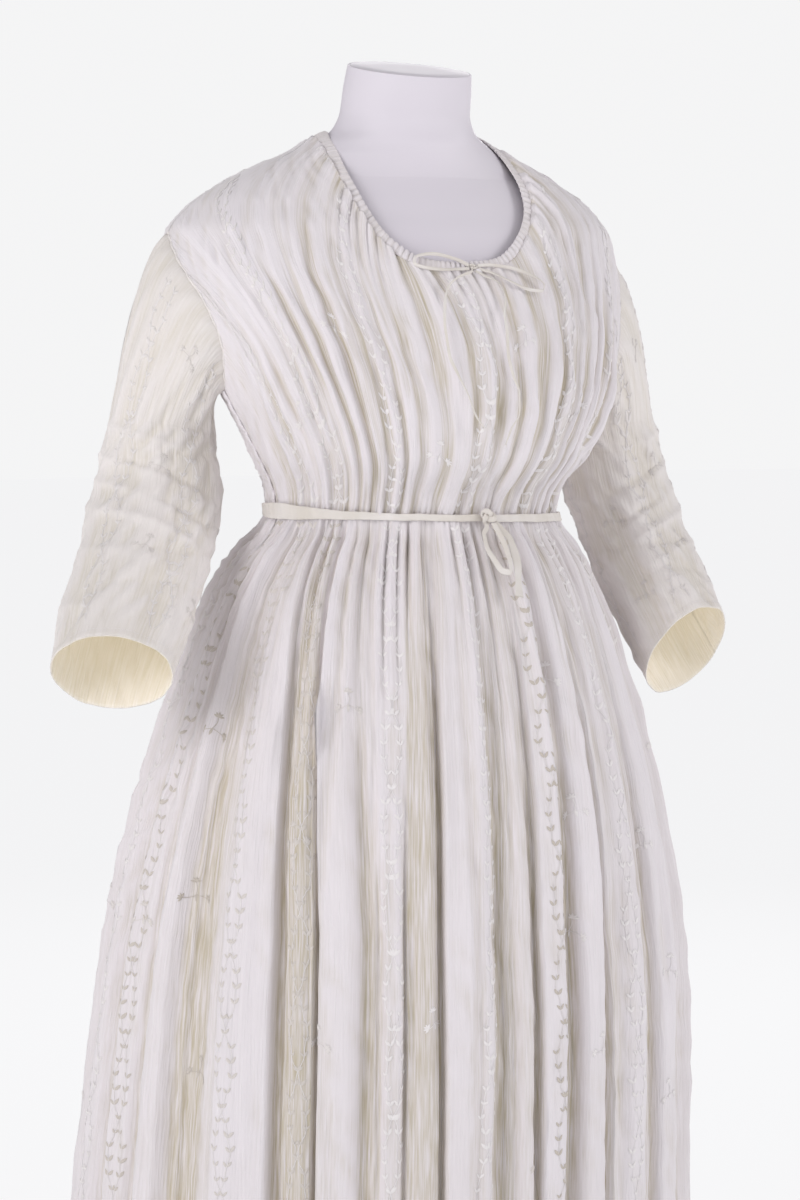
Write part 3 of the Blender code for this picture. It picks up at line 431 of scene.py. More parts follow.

# Embroidered vine stripes of the skirt: place at belt, half height and hem, and its painted shade:
# 0 is white thread on doubled cloth and 1 is thread painted dark where light comes through single cloth
SKIRT_FRONT_VINES = table(
    "belt half hem tone",
    (-0.930, -0.935, -0.880, 0.7),
    (-0.735, -0.610, -0.550, 0.5),
    (-0.565, -0.452, -0.398, 0.6),
    (-0.300, -0.250, -0.215, 0.1),
    (-0.020, -0.030, -0.055, 0.1),
    (0.180, 0.130, 0.130, 0.8),
    (0.450, 0.360, 0.340, 0.1),
    (0.720, 0.600, 0.560, 0.2),
    (0.920, 0.860, 0.840, 0.2),
)
SKIRT_BACK_VINES = table(
    "belt half hem tone",
    (-0.900, -0.920, -0.920, 0.2),
    (-0.600, -0.600, -0.590, 0.6),
    (-0.300, -0.290, -0.270, 0.1),
    (-0.020, 0.010, 0.040, 0.7),
    (0.265, 0.315, 0.340, 0.4),
    (0.560, 0.620, 0.630, 0.1),
    (0.880, 0.900, 0.900, 0.2),
)
SKIRT_FRONT_SPRIGS = table(
    "across height turn tone",
    (-0.80, 0.745, 10, 0.8), (-0.76, 0.590, -5, 0.8), (-0.70, 0.420, 15, 0.7), (-0.39, 0.775, 0, 0.4),
    (-0.49, 0.650, -15, 0.5), (-0.39, 0.460, 8, 0.3), (-0.16, 0.478, -10, 0.1), (0.21, 0.800, 6, 0.1),
    (0.22, 0.672, -8, 0.1), (0.19, 0.556, 12, 0.1), (0.50, 0.630, -6, 0.1), (0.52, 0.500, 10, 0.1),
    (0.23, 0.440, 0, 0.1), (0.50, 0.375, -12, 0.1), (0.07, 0.330, 14, 0.5), (-0.92, 0.560, -6, 0.4),
    (0.75, 0.720, 4, 0.2), (0.78, 0.470, -9, 0.2), (-0.30, 0.250, 7, 0.2), (0.36, 0.210, -7, 0.1),
    (-0.62, 0.200, 12, 0.5), (0.02, 0.170, -4, 0.1), (0.66, 0.180, 9, 0.1), (-0.86, 0.260, 0, 0.3),
    (-0.10, 0.080, 8, 0.1), (0.30, 0.070, -8, 0.1), (-0.45, 0.090, 3, 0.1), (0.85, 0.110, 11, 0.2),
)
SKIRT_BACK_SPRIGS = table(
    "across height turn tone",
    (-0.75, 0.760, 8, 0.2), (-0.76, 0.560, -8, 0.3), (-0.74, 0.360, 12, 0.2), (-0.75, 0.150, 0, 0.2),
    (-0.44, 0.680, -6, 0.2), (-0.44, 0.470, 9, 0.2), (-0.43, 0.260, -12, 0.2), (-0.14, 0.780, 5, 0.3),
    (-0.13, 0.580, -9, 0.2), (-0.12, 0.370, 7, 0.2), (-0.11, 0.160, -5, 0.3), (0.15, 0.690, 10, 0.2),
    (0.16, 0.490, -7, 0.3), (0.18, 0.280, 4, 0.2), (0.19, 0.090, -10, 0.2), (0.46, 0.770, 6, 0.2),
    (0.47, 0.570, -4, 0.2), (0.49, 0.370, 11, 0.3), (0.50, 0.160, -8, 0.2), (0.76, 0.670, 5, 0.2),
    (0.77, 0.470, -10, 0.2), (0.77, 0.260, 8, 0.2),
)
BODICE_FRONT_VINES = table(
    "top belt tone",
    (-0.870, -0.880, 0.2),
    (-0.620, -0.640, 0.2),
    (-0.300, -0.310, 0.1),
    (-0.035, 0.010, 0.1),
    (0.240, 0.330, 0.1),
    (0.600, 0.580, 0.2),
    (0.880, 0.880, 0.3),
)
BODICE_BACK_VINES = table(
    "top belt tone",
    (-0.880, -0.850, 0.2),
    (-0.600, -0.480, 0.1),
    (-0.200, -0.190, 0.1),
    (0.200, 0.190, 0.2),
    (0.600, 0.480, 0.1),
    (0.880, 0.850, 0.2),
)
BODICE_FRONT_SPRIGS = table(
    "across height turn tone",
    (-0.57, 1.190, -8, 0.1), (-0.40, 1.075, 10, 0.1), (-0.16, 1.010, 4, 0.1), (0.14, 1.120, -6, 0.1),
    (0.42, 1.180, 8, 0.1), (0.40, 1.030, -10, 0.1), (-0.62, 1.030, 6, 0.2), (0.62, 1.090, -5, 0.2),
)
BODICE_BACK_SPRIGS = table(
    "across height turn tone",
    (-0.42, 1.180, 6, 0.1), (-0.40, 1.040, -8, 0.1), (0.00, 1.230, 5, 0.1), (0.00, 1.090, -6, 0.1),
    (0.42, 1.180, -6, 0.1), (0.40, 1.040, 8, 0.1),
)


def smooth_curve(at, xs, ys):
    """Smooth curve through the points that never overshoots them"""
    steps = np.diff(xs)
    slopes = np.diff(ys) / steps
    turns = slopes[1:] * slopes[:-1] > 0
    total = np.where(turns, slopes[1:] + slopes[:-1], 1.0)
    inner = np.where(turns, 2 * slopes[1:] * slopes[:-1] / total, 0.0)
    tangent = np.concatenate([slopes[:1], inner, slopes[-1:]])
    at = np.clip(at, xs[0], xs[-1])
    i = np.clip(np.searchsorted(xs, at, side="right") - 1, 0, len(steps) - 1)
    t = (at - xs[i]) / steps[i]
    return (
        (1 + 2 * t) * (1 - t) ** 2 * ys[i]
        + t * (1 - t) ** 2 * steps[i] * tangent[i]
        + t * t * (3 - 2 * t) * ys[i + 1]
        - t * t * (1 - t) * steps[i] * tangent[i + 1]
    )


def mix(a, b, share):
    return a + (b - a) * share


def unit(vector):
    return vector / np.maximum(np.linalg.norm(vector, axis=-1, keepdims=True), 1e-12)


def hull_size(height, name):
    return smooth_curve(height, HULL["height"], HULL[name])


def hull_point(angle, height):
    """Point on the hull; angle 0 is the front's middle and +90 degrees the wearer's left"""
    depth = np.where(np.cos(angle) > 0, hull_size(height, "front"), hull_size(height, "back"))
    x = hull_size(height, "shift") + hull_size(height, "half_width") * np.sin(angle)
    y = hull_size(height, "middle") - depth * np.cos(angle)
    return np.stack([x, y, height + 0 * angle], -1)


def hull_out(angle, height):
    """Direction straight out of the hull"""
    step = 0.0005
    height = np.clip(height, step, NECK_SIDE - step)
    along = hull_point(angle + step, height) - hull_point(angle - step, height)
    up = hull_point(angle, height + step) - hull_point(angle, height - step)
    return unit(np.cross(along, up))


def on_hull(angle, height, out):
    return hull_point(angle, height) + hull_out(angle, height) * np.asarray(out)[..., None]


def belt_height(angle):
    return BELT_HEIGHT - BELT_TILT * np.sin(angle)


def neckline(share, drop, front):
    """x and height of the neckline, drop below its edge; share is 0 in front, 1 at the side"""
    side = NECK_SIDE - 0.6 * drop
    side_x = hull_size(side, "half_width")
    if not front:
        turn = share * pi / 2
        height = mix(NECK_BACK - drop, side, 1 - np.cos(turn))
        return side_x * np.sin(turn), height
    x = smooth_curve(share, NECKLINE["share"], NECKLINE["x"])
    height = smooth_curve(share, NECKLINE["share"], NECKLINE["height"])
    blend = share**4
    down = np.cos(np.clip(share / 0.7, 0, 1) * pi / 2)
    low_x = x + drop * np.sqrt(1 - down**2)
    low_z = height - drop * down
    return mix(low_x, side_x, blend), mix(low_z, side, blend)


def top_edge(side, front, drop):
    """x and height of a panel's top: neckline, then shoulder, then armhole"""
    neck_x, neck_z = neckline(np.clip(side / NECK_SHARE, 0, 1), drop, front)
    along = np.clip((side - NECK_SHARE) / (SHOULDER_SHARE - NECK_SHARE), 0, 1)
    shoulder_z = mix(NECK_SIDE - 0.6 * drop, SHOULDER_TIP, along)
    shoulder_x = hull_size(shoulder_z, "half_width")
    turn = np.clip((side - SHOULDER_SHARE) / (1 - SHOULDER_SHARE), 0, 1) * pi
    arm_z = ARMHOLE_HEIGHT + ARMHOLE_HALF_HEIGHT * np.cos(turn)
    depth = hull_size(arm_z, "front" if front else "back")
    inward = ARMHOLE_HALF_WIDTH * np.sin(turn) ** 2 / depth
    arm_x = hull_size(arm_z, "half_width") * np.sqrt(1 - inward**2)
    x = np.where(side < NECK_SHARE, neck_x, np.where(side < SHOULDER_SHARE, shoulder_x, arm_x))
    z = np.where(side < NECK_SHARE, neck_z, np.where(side < SHOULDER_SHARE, shoulder_z, arm_z))
    return x, z


def bodice_place(belt, top, up, front):
    """Angle and height on the hull of a column from its place at the belt to that at the top"""
    side = np.abs(top)
    top_x, top_z = top_edge(side, front, CASING_WIDTH)
    height = mix(belt_height(belt * pi / 2) + SEAM, top_z, up)
    top_angle = np.sign(top) * np.arcsin(np.clip(top_x / hull_size(top_z, "half_width"), 0, 1))
    angle = mix(belt * pi / 2, top_angle, up**COLUMN_BEND)
    limit = pi / 2 - SEAM / hull_size(height, "front")
    angle = np.clip(angle, -limit, limit)
    if not front:
        angle = pi - angle
    return angle, height


def skirt_place(across, down, front):
    """Angle and height on the hull; down is 0 at the belt and 1 at the hem"""
    top = belt_height(across * pi / 2) - SEAM
    height = mix(top, HEM_HEIGHT, down)
    edge = 1 - SEAM / (0.15 * pi / 2)
    angle = np.clip(across, -edge, edge) * pi / 2
    if not front:
        angle = pi - angle
    return angle, height


def fold_columns(rows, names, parts):
    """Columns from trough to trough: their places in each named column, share and row number"""
    start = np.concatenate([np.full(n, i) for i, n in enumerate(parts)] + [[len(rows) - 2]])
    share = np.concatenate([np.arange(n) / n for n in parts] + [[1.0]])
    return [mix(rows[name][start], rows[name][start + 1], share) for name in names], share, start


def smooth_step(share):
    share = np.clip(share, 0, 1)
    return share * share * (3 - 2 * share)


def swell(share, lean, floor, crisp, soft):
    """A fold between two troughs: flat floors, a crisp side where it leans, then a soft side"""
    sharp = np.abs(lean) ** 0.7
    near = mix(soft, crisp, np.where(lean < 0, sharp, 0.35 * (1 - sharp)))
    far = mix(soft, crisp, np.where(lean > 0, sharp, 0.35 * (1 - sharp)))
    rise = smooth_step((share - floor) / near)
    fall = smooth_step((1 - floor - share) / far)
    middle = np.clip((share - floor) / (1 - 2 * floor), 0, 1)
    return np.minimum(rise, fall) * (0.80 + 0.20 * np.sin(pi * middle))


def overhang(share, lean, floor):
    """How far a fold's crisp edge leans over its trough, 0 to 1, with its sign"""
    edge = np.where(lean < 0, floor + 0.10, 0.90 - floor)
    near = np.exp(-(((share - edge) / 0.11) ** 2))
    return np.sign(lean) * np.abs(lean) * near


def rumple(across, along, wave, stretch, seed):
    """Smooth uneven ripples about 1 high: wave is their size in metres, stretch their length"""
    random = np.random.default_rng(seed)
    total = 0
    for _ in range(16):
        size = wave * random.uniform(0.6, 1.8)
        lean = random.normal(0, 0.35)
        way = 2 * pi * (across + lean * along) / size
        total = total + np.sin(way + 2 * pi * along / (size * stretch) + random.uniform(0, 2 * pi))
    return total / 4


def small_creases(count, seed, width, height):
    """More short creases in the gaps, uneven in place, length and depth"""
    random = np.random.default_rng(seed)
    rows = []
    for k in range(count):
        first = -0.98 + 1.96 * (k + random.uniform(0.1, 0.9)) / count
        start = random.choice([0.0, 0.0, random.uniform(0, 0.7)])
        end = min(1.0, start + random.uniform(0.18, 0.6))
        last = first + random.normal(0, 0.018)
        deep = height * random.uniform(0.5, 1.3) * random.choice([-0.7, 1.0, 1.0])
        wide = width * random.uniform(0.6, 1.5)
        lean = random.uniform(-0.9, 0.9)
        rows.append((first, last, start, end, wide, deep, lean))
    return table("first last start end width height lean", *rows)


def crease_field(creases, place, along, width):
    """Height of the long creases; place runs across the panel and width is its local size"""
    total = np.zeros_like(place)
    for row in creases:
        middle = mix(row["first"], row["last"], along)
        middle = middle + 0.006 * np.sin(9 * along + 40 * row["first"])
        far = (place - middle) * width / row["width"]
        far = np.where(far * row["lean"] > 0, far * (1 + 2.2 * np.abs(row["lean"])), far)
        shape = np.exp(-np.abs(far) ** 1.4)
        rise = np.clip((along - row["start"]) / 0.10 + 0.5, 0, 1)
        fall = np.clip((row["end"] - along) / 0.14 + 0.5, 0, 1)
        total += row["height"] * shape * rise * fall
    return total


def gathers(place, count, phase):
    """Small uneven puckers side by side, count of them from -1 to 1"""
    wander = 0.9 * np.sin(7.3 * place + phase) + 0.6 * np.sin(17.1 * place + 2 * phase)
    ridge = np.abs(np.sin(pi * count / 2 * place + wander))
    return ridge**0.8 * (1 + 0.45 * np.sin(23.0 * place + 3 * phase))


def add_mesh(name, points, faces, slot, uv=None, **facts):
    mesh = bpy.data.meshes.new(name)
    mesh.from_pydata(points.tolist(), [], faces)
    if uv is not None:
        layer = mesh.uv_layers.new(name="UVMap")
        corners = np.empty(len(mesh.loops), dtype=np.int32)
        mesh.loops.foreach_get("vertex_index", corners)
        layer.data.foreach_set("uv", np.asarray(uv, dtype=np.float32)[corners].ravel())
    for key, values in facts.items():
        layer = mesh.attributes.new(key, "FLOAT", "POINT")
        layer.data.foreach_set("value", np.asarray(values, dtype=np.float32).ravel())
    obj = bpy.data.objects.new(name, mesh)
    bpy.context.scene.collection.objects.link(obj)
    mesh.shade_smooth()
    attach(obj, "root")
    return obj


def grid_faces(rows, columns, closed=False, first=0):
    last = columns if closed else columns - 1
    r, c = np.meshgrid(np.arange(rows - 1), np.arange(last), indexing="ij")
    a = first + r * columns + c
    b = first + r * columns + (c + 1) % columns
    return np.stack([a, b, b + columns, a + columns], -1).reshape(-1, 4).tolist()


def face_out(grid, centre_line):
    """True where the grid's own normals point away from the line inside it"""
    across = np.gradient(grid, axis=1)
    along = np.gradient(grid, axis=0)
    normal = unit(np.cross(across, along))
    return np.mean(np.sum(normal * (grid - centre_line), -1)) > 0, normal


def make_panel(name, grid, uv, valley, centre_line, slot="white_muslin", closed=False):
    """One sheet of cloth from a grid of points, with its painted shade data"""
    outward, normal = face_out(grid, centre_line)
    rows, columns = grid.shape[:2]
    faces = grid_faces(rows, columns, closed)
    if not outward:
        faces = [face[::-1] for face in faces]
        normal = -normal
    obj = add_mesh(name, grid.reshape(-1, 3), faces, slot, uv.reshape(-1, 2), valley=valley)
    return obj, normal


def cloth_uv(grid):
    """Sizes on the cloth in metres: across each row from its middle, and down the middle column"""
    across = np.linalg.norm(np.diff(grid, axis=1), axis=2)
    u = np.concatenate([np.zeros((len(grid), 1)), np.cumsum(across, axis=1)], 1)
    u = np.tile(u[len(u) // 2] - u[len(u) // 2].mean(), (len(grid), 1))
    middle = grid[:, grid.shape[1] // 2]
    v = np.append(0, np.cumsum(np.linalg.norm(np.diff(middle, axis=0), axis=1)))
    return np.stack([u, np.tile(v[:, None], (1, grid.shape[1]))], -1)


def dense(stops, counts):
    """Values from stop to stop with so many steps in each stretch"""
    parts = [np.linspace(a, b, n, endpoint=False) for a, b, n in zip(stops[:-1], stops[1:], counts)]
    return np.append(np.concatenate(parts), stops[-1])


def make_bodice(name, rows, creases, front, phase):
    parts = np.full(len(rows) - 1, 14 if front else 18)
    (top, belt), share, start = fold_columns(rows, ("top", "belt"), parts)
    up = dense((0, 0.06, 0.2, 0.8, 0.94, 1.0), (12, 12, 34, 18, 14))[:, None]
    angle, height = bodice_place(belt, top, up + 0 * top, front)
    at = np.array([0.0, 0.42, 0.80, 1.0])
    high = np.stack([rows[key][start] for key in ("waist", "chest", "head", "head")])
    size = np.array([[np.interp(u, at, high[:, c]) for c in range(len(start))] for u in up[:, 0]])
    size = size * (1 + 0.30 * np.sin(2.2 * pi * up + 2.4 * start) * np.sin(pi * up))
    run, rise = angle * hull_size(height, "half_width"), height
    patch = smooth_step(0.62 + 0.50 * rumple(run, rise, 0.085, 2.2, 13 if front else 14))
    shoulder = smooth_step((up - 0.42) / 0.30) * smooth_step((np.abs(top) - 0.34) / 0.16)
    size = size * mix(0.35, 1.1, patch) * (1 - 0.80 * shoulder)
    lean = rows["lean"][start]
    crest = swell(share, lean, 0.05, 0.08, 0.50)
    width = np.gradient(hull_point(angle, height), axis=1)
    width = np.linalg.norm(width, axis=2) / np.maximum(np.gradient(top), 1e-4)
    crease = 1.5 * crease_field(creases, top + 0 * up, up + 0 * top, width) * (1 - 0.45 * shoulder)
    small = small_creases(46, 11 if front else 12, 0.0045, 0.0013)
    crease = crease + crease_field(small, top + 0 * up, up + 0 * top, width)
    crease = crease + 0.0006 * rumple(run, rise, 0.017, 5.0, 5 if front else 6)
    drift = 0.0013 * rumple(run, rise, 0.070, 1.6, 7 if front else 8) * np.sin(pi * up)
    angle = angle + drift / hull_size(height, "half_width") * smooth_step((1 - np.abs(top)) / 0.15)
    over = overhang(share, lean, 0.05) * 0.0016 * np.sin(pi * np.clip(up, 0, 1)) ** 0.5
    angle = angle + over / (hull_size(height, "half_width") * np.where(front, 1.0, -1.0))
    near_neck = np.exp(-(1 - up) / NECK_GATHER_REACH) * np.clip((NECK_SHARE - np.abs(top)) / 0.06, 0, 1)
    near_belt = np.exp(-up / BELT_GATHER_REACH)
    neck = NECK_GATHER * gathers(top, 78 if front else 60, phase) * near_neck
    waist = BELT_GATHER * gathers(belt, 74, phase + 1) * near_belt
    calm = np.clip(up / 0.04, 0.35, 1) * np.clip((1 - up) / 0.03, 0.3, 1)
    inside = np.abs(top) > NECK_SHARE
    edge = np.where(inside, np.clip((1 - up) / 0.03, 0, 1), 1.0)
    out = WALL / 2 + 1.45 * size * crest + (crease * calm + neck + waist) * edge
    out = np.minimum(out, 0.0064 + 0.25 * up)
    out = mix(WALL / 2 + 0.0006, out, smooth_step((1 - np.abs(top)) / 0.035))
    grid = on_hull(angle, height, np.maximum(out, 0.0003))
    # Painted shade: darker in fold hollows, between the gathers at the belt, in sunk creases and between the
    # neck puckers
    valley = smooth_step((0.75 - crest) / 0.6) * np.clip(size / 0.0035, 0.12, 1) * 0.95
    valley = valley + 0.6 * np.clip(0.9 - gathers(belt, 74, phase + 1), 0, 1) * near_belt
    valley = valley + np.clip(-crease / 0.003, 0, 0.4) + 0.12 * near_neck * (1 - gathers(top, 78, phase))
    tucks = []
    for drop in (0.75, 0.5, 0.3):
        top_x, top_z = top_edge(np.abs(top), front, CASING_WIDTH * drop)
        swing = np.sign(top) * np.arcsin(np.clip(top_x / hull_size(top_z, "half_width"), 0, 1))
        tuck = on_hull(swing if front else pi - swing, top_z, 0 * top - 0.0004)
        tucks.append(np.where((np.abs(top) < NECK_SHARE - 0.01)[:, None], tuck, grid[-1]))
    rows_kept = len(grid)
    grid = np.concatenate([grid, tucks])
    valley = np.concatenate([valley, valley[-1:], valley[-1:], valley[-1:]])
    line = np.array([0, 0.03, 0]) + grid * np.array([0, 0, 1])
    obj, normal = make_panel(name + "_cloth", grid, cloth_uv(grid), np.clip(valley, 0, 1), line)
    grid, normal = grid[:rows_kept], normal[:rows_kept]
    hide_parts(name)
    place = angle / (pi / 2) if front else (pi - angle) / (pi / 2)
    return {"obj": obj, "grid": grid, "normal": normal, "place": place, "height": height,
            "top": top, "belt": belt}


def make_skirt(name, rows, creases, front, phase):
    wide = np.diff(rows["hem"]) * 0.5
    parts = np.clip(np.round(wide / 0.0026), 16, 48).astype(int)
    (belt, half, hem), share, start = fold_columns(rows, ("belt", "half", "hem"), parts)
    down = dense((0, 0.04, 0.14, 0.5, 1.0), (14, 18, 40, 44))[:, None]
    above = mix(belt, half, down / HALF_DOWN)
    across = np.where(down < HALF_DOWN, above, mix(half, hem, (down - HALF_DOWN) / (1 - HALF_DOWN)))
    angle, height = skirt_place(across, down + 0 * across, front)
    at = np.array([0.0, HALF_DOWN, 1.0])
    high = np.stack([rows[key][start] for key in ("top_swell", "half_swell", "hem_swell")])
    size = np.array([[np.interp(d, at, high[:, c]) for c in range(len(start))] for d in down[:, 0]])
    run = angle * hull_size(height, "half_width")
    patch = smooth_step(0.62 + 0.50 * rumple(run, height, 0.16, 3.5, 15 if front else 16))
    small_fold = smooth_step((0.013 - size) / 0.006) * smooth_step((1 - np.abs(across)) / 0.08)
    size = size * mix(1, mix(0.45, 1.1, patch), small_fold * smooth_step((down - 0.05) / 0.1))
    lean = rows["lean"][start]
    crest = swell(share, lean, 0.11, 0.07, 0.34)
    sink = 0.70 * np.clip(down / 0.10, 0, 1)
    fold_width = np.diff(rows["hem"])[start] * pi / 2 * 0.30
    over = overhang(share, lean, 0.11) * np.minimum(0.0075, 0.15 * fold_width) * smooth_step(down / 0.22)
    over = over * smooth_step((1 - np.abs(across)) / 0.05)
    angle = angle + over / (hull_size(height, "half_width") * np.where(front, 1.0, -1.0))
    width = np.gradient(hull_point(angle, height), axis=1)
    width = np.linalg.norm(width, axis=2) / np.maximum(np.gradient(hem), 1e-4)
    crease = 1.5 * crease_field(creases, across, down + 0 * hem, width)
    small = small_creases(60, 21 if front else 22, 0.0055, 0.0021)
    crease = crease + crease_field(small, across, down + 0 * hem, width)
    crease = crease + 0.0010 * rumple(run, height, 0.034, 6.0, 23 if front else 24)
    calm = np.clip(down / 0.05, 0.25, 1)
    waist = BELT_GATHER * gathers(belt, 74, phase) * np.exp(-down / 0.045)
    below = smooth_step(down / 0.03) * np.exp(-down / 0.13)
    waist = waist + 0.0105 * (gathers(belt, 38, phase + 2) - 0.95) * below
    ripple = 0.0007 * np.sin(60 * hem + 3 * down) + 0.0005 * np.sin(143 * hem + 5 * down + phase)
    out = WALL / 2 + size * (crest - sink) + crease * calm + waist + ripple * np.clip(down / 0.1, 0, 1)
    under_tie = np.exp(-(((np.degrees(angle) - 10) / 8) ** 4)) * smooth_step((0.13 - down) / 0.04)
    out = np.minimum(out, mix(0.0064 + 1.2 * down, 0.0086, under_tie))
    edge = np.clip((1 - np.abs(across)) / 0.012, 0, 1)
    seam = WALL / 2 - size * sink
    grid = on_hull(angle, height, mix(seam, out, edge))
    # Painted shade: beige where single cloth lets light through, darker in fold hollows and sunk creases and
    # between the gathers under the belt
    bare = rows["sheer"][start] * np.clip(down / 0.2, 0, 1)
    deep = np.clip((size - 0.004) / 0.014, 0.12, 1)
    valley = smooth_step((0.5 - crest) / 0.45) * deep * (1 - bare) + 0.95 * bare
    valley = valley + np.clip(-crease / 0.006, 0, 0.3)
    valley = valley + 0.85 * np.clip(0.95 - gathers(belt, 38, phase + 2), 0, 1) * below
    turn = np.clip(np.arange(1, 4) / 3, 0, 1)[:, None, None]
    hem_in = grid[-1] - hull_out(angle[-1], height[-1]) * 0.0009
    turned = np.concatenate([hem_in[None] + np.array([0, 0, 1]) * TURNED_HEM * turn])
    grid_all = np.concatenate([grid, hem_in[None], turned])
    valley_all = np.concatenate([valley, np.repeat(valley[-1:], 4, 0)])
    line = np.array([0, 0.06, 0]) + grid_all * np.array([0, 0, 1])
    obj, normal = make_panel(name + "_cloth", grid_all, cloth_uv(grid_all), np.clip(valley_all, 0, 1), line)
    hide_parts(name)
    rows_kept = len(grid)
    return {"obj": obj, "grid": grid, "normal": normal[:rows_kept], "place": across, "height": height,
            "belt": belt, "half": half, "hem": hem}


def armhole(turn, side, shrink):
    """Ring of the armhole, from its top round the front; side is -1 for the wearer's right"""
    z = ARMHOLE_HEIGHT + (ARMHOLE_HALF_HEIGHT - shrink) * np.cos(turn)
    front = np.sin(turn) > 0
    depth = np.where(front, hull_size(z, "front"), hull_size(z, "back"))
    swing = pi / 2 - np.arcsin((ARMHOLE_HALF_WIDTH - shrink) * np.sin(turn) ** 2 / depth)
    return hull_point(side * np.where(front, swing, pi - swing), z)


def sleeve_section(row, turn, side, grow):
    """One level of the sleeve as an ellipse: turn 0 is its outer side, 90 degrees its front"""
    outward, forward = radians(row["outward"]), radians(row["forward"])
    face = unit(np.array([side * np.tan(outward), -np.tan(forward), -1.0]))
    away = unit(np.array([0.86 * side, 0.5, 0.0]))
    away = unit(away - face * (away @ face))
    ahead = np.cross(face, away) * side
    ahead = ahead * np.sign(-ahead[1])
    middle = np.array([side * row["out"], row["forth"], row["height"]])
    wide = (row["broad"] + grow) * np.cos(turn)
    deep = (row["deep"] + grow) * np.sin(turn)
    return middle + away * wide[:, None] + ahead * deep[:, None]


def sleeve_height(turn, level, side):
    """Soft lengthwise folds, slanting creases and small puckers of a sleeve"""
    wave = np.sin(5 * turn + 1.3 * side + 0.5 * level) + 0.6 * np.sin(9 * turn - 0.7 * level)
    total = 0.0016 * wave * np.clip(level, 0, 1) * np.clip(6.5 - level, 0, 1)
    for row in SLEEVE_CREASES:
        shift = (turn - radians(row["turn"]) * 1.0 + pi) % (2 * pi) - pi
        line = level - row["level"] - row["slant"] * shift
        cover = np.exp(-((shift / radians(row["reach"])) ** 2))
        total = total + row["height"] * cover * np.exp(-np.abs(line / row["width"]) ** 1.5)
    run, along = 0.055 * turn, 0.060 * level
    total = 1.3 * total + 0.0013 * rumple(run, along, 0.030, 2.2, 31 if side < 0 else 32)
    total = total + 0.0006 * rumple(run, along, 0.011, 4.0, 33 if side < 0 else 34)
    return total * np.clip(level + 1.3, 0, 1) * np.clip((4.1 - level) / 0.5, 0.2, 1)


def make_sleeve(name, rows, side):
    turn = np.arange(150) * 2 * pi / 150
    count = len(rows)
    skins, levels = [], []
    for shrink in (0.0, 0.0008):
        start = armhole(turn, side, 0.0004 + shrink)
        first = sleeve_section(rows[0], turn, side, -shrink)
        reach = (0.018 + 0.014 * np.clip(np.cos(turn), 0, 1))[:, None]
        steer = start + reach * np.array([side, 0, -0.35])
        rings, marks = [], []
        for share in np.linspace(0, 1, 26)[:-1]:
            rings.append((1 - share) ** 2 * start + 2 * share * (1 - share) * steer + share**2 * first)
            marks.append(share - 1.0)
        for level in np.linspace(0, count - 1, 96):
            row = {n: smooth_curve(level, np.arange(count), rows[n]) for n in rows.dtype.names}
            rings.append(sleeve_section(row, turn, side, -shrink))
            marks.append(level)
        skins.append(np.array(rings))
        levels.append(np.array(marks))
    level = levels[0][:, None]
    out = unit(skins[0] - skins[0].mean(1, keepdims=True))
    lift = sleeve_height(turn[None, :], level, side)
    to_end = np.linalg.norm(skins[0] - skins[0][-1:], axis=2)
    band = 0.0004 * np.clip((CUFF_HEM - to_end) / 0.0015, 0, 1)
    groove = -0.0004 * np.exp(-(((to_end - CUFF_HEM) / 0.0009) ** 2))
    gather = 0.0011 * gathers(turn[None, :] / pi - 1, 46, 2.0 * side) * np.exp(-(level + 1) / 0.16)
    gather = gather * np.clip((level + 1) / 0.05, 0, 1)
    outer = skins[0] + out * (lift + band + groove + gather)[..., None]
    inner = skins[1] + out * (lift - 0.0002)[..., None]
    grid = np.concatenate([outer, inner[::-1]])
    # Painted shade: a little all over the sleeve, more in sunk creases, and the inner layer darker still
    valley = np.clip(0.25 - lift / 0.006, 0, 0.5)
    # Painted light: the inner layer is marked to emit a pale beige colour, standing in for light that comes
    # through the sleeve
    glow = np.concatenate([0 * valley, 0 * valley + 1])
    valley = np.concatenate([valley, np.full(valley.shape, 0.6)])
    girth = 0.34
    u = np.tile(turn / (2 * pi) * girth, (len(grid), 1))
    v = np.append(0, np.cumsum(np.linalg.norm(np.diff(grid.mean(1), axis=0), axis=1)))
    uv = np.stack([u, np.tile(v[:, None], (1, len(turn)))], -1)
    faces = grid_faces(*grid.shape[:2], closed=True)
    last = (len(grid) - 1) * len(turn)
    faces += [(last + c, last + (c + 1) % len(turn), (c + 1) % len(turn), c) for c in range(len(turn))]
    mid = skins[0].mean(1, keepdims=True)
    across = np.roll(outer, -1, 1) - np.roll(outer, 1, 1)
    normal = unit(np.cross(across, np.gradient(outer, axis=0)))
    if np.mean(np.sum(normal * (outer - mid), -1)) < 0:
        faces = [face[::-1] for face in faces]
        normal = -normal
    obj = add_mesh(name + "_cloth", grid.reshape(-1, 3), faces, "white_muslin", uv.reshape(-1, 2),
                   valley=valley, glow=glow)
    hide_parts(name)
    return {"obj": obj, "grid": outer, "normal": normal, "turn": turn, "level": levels[0]}


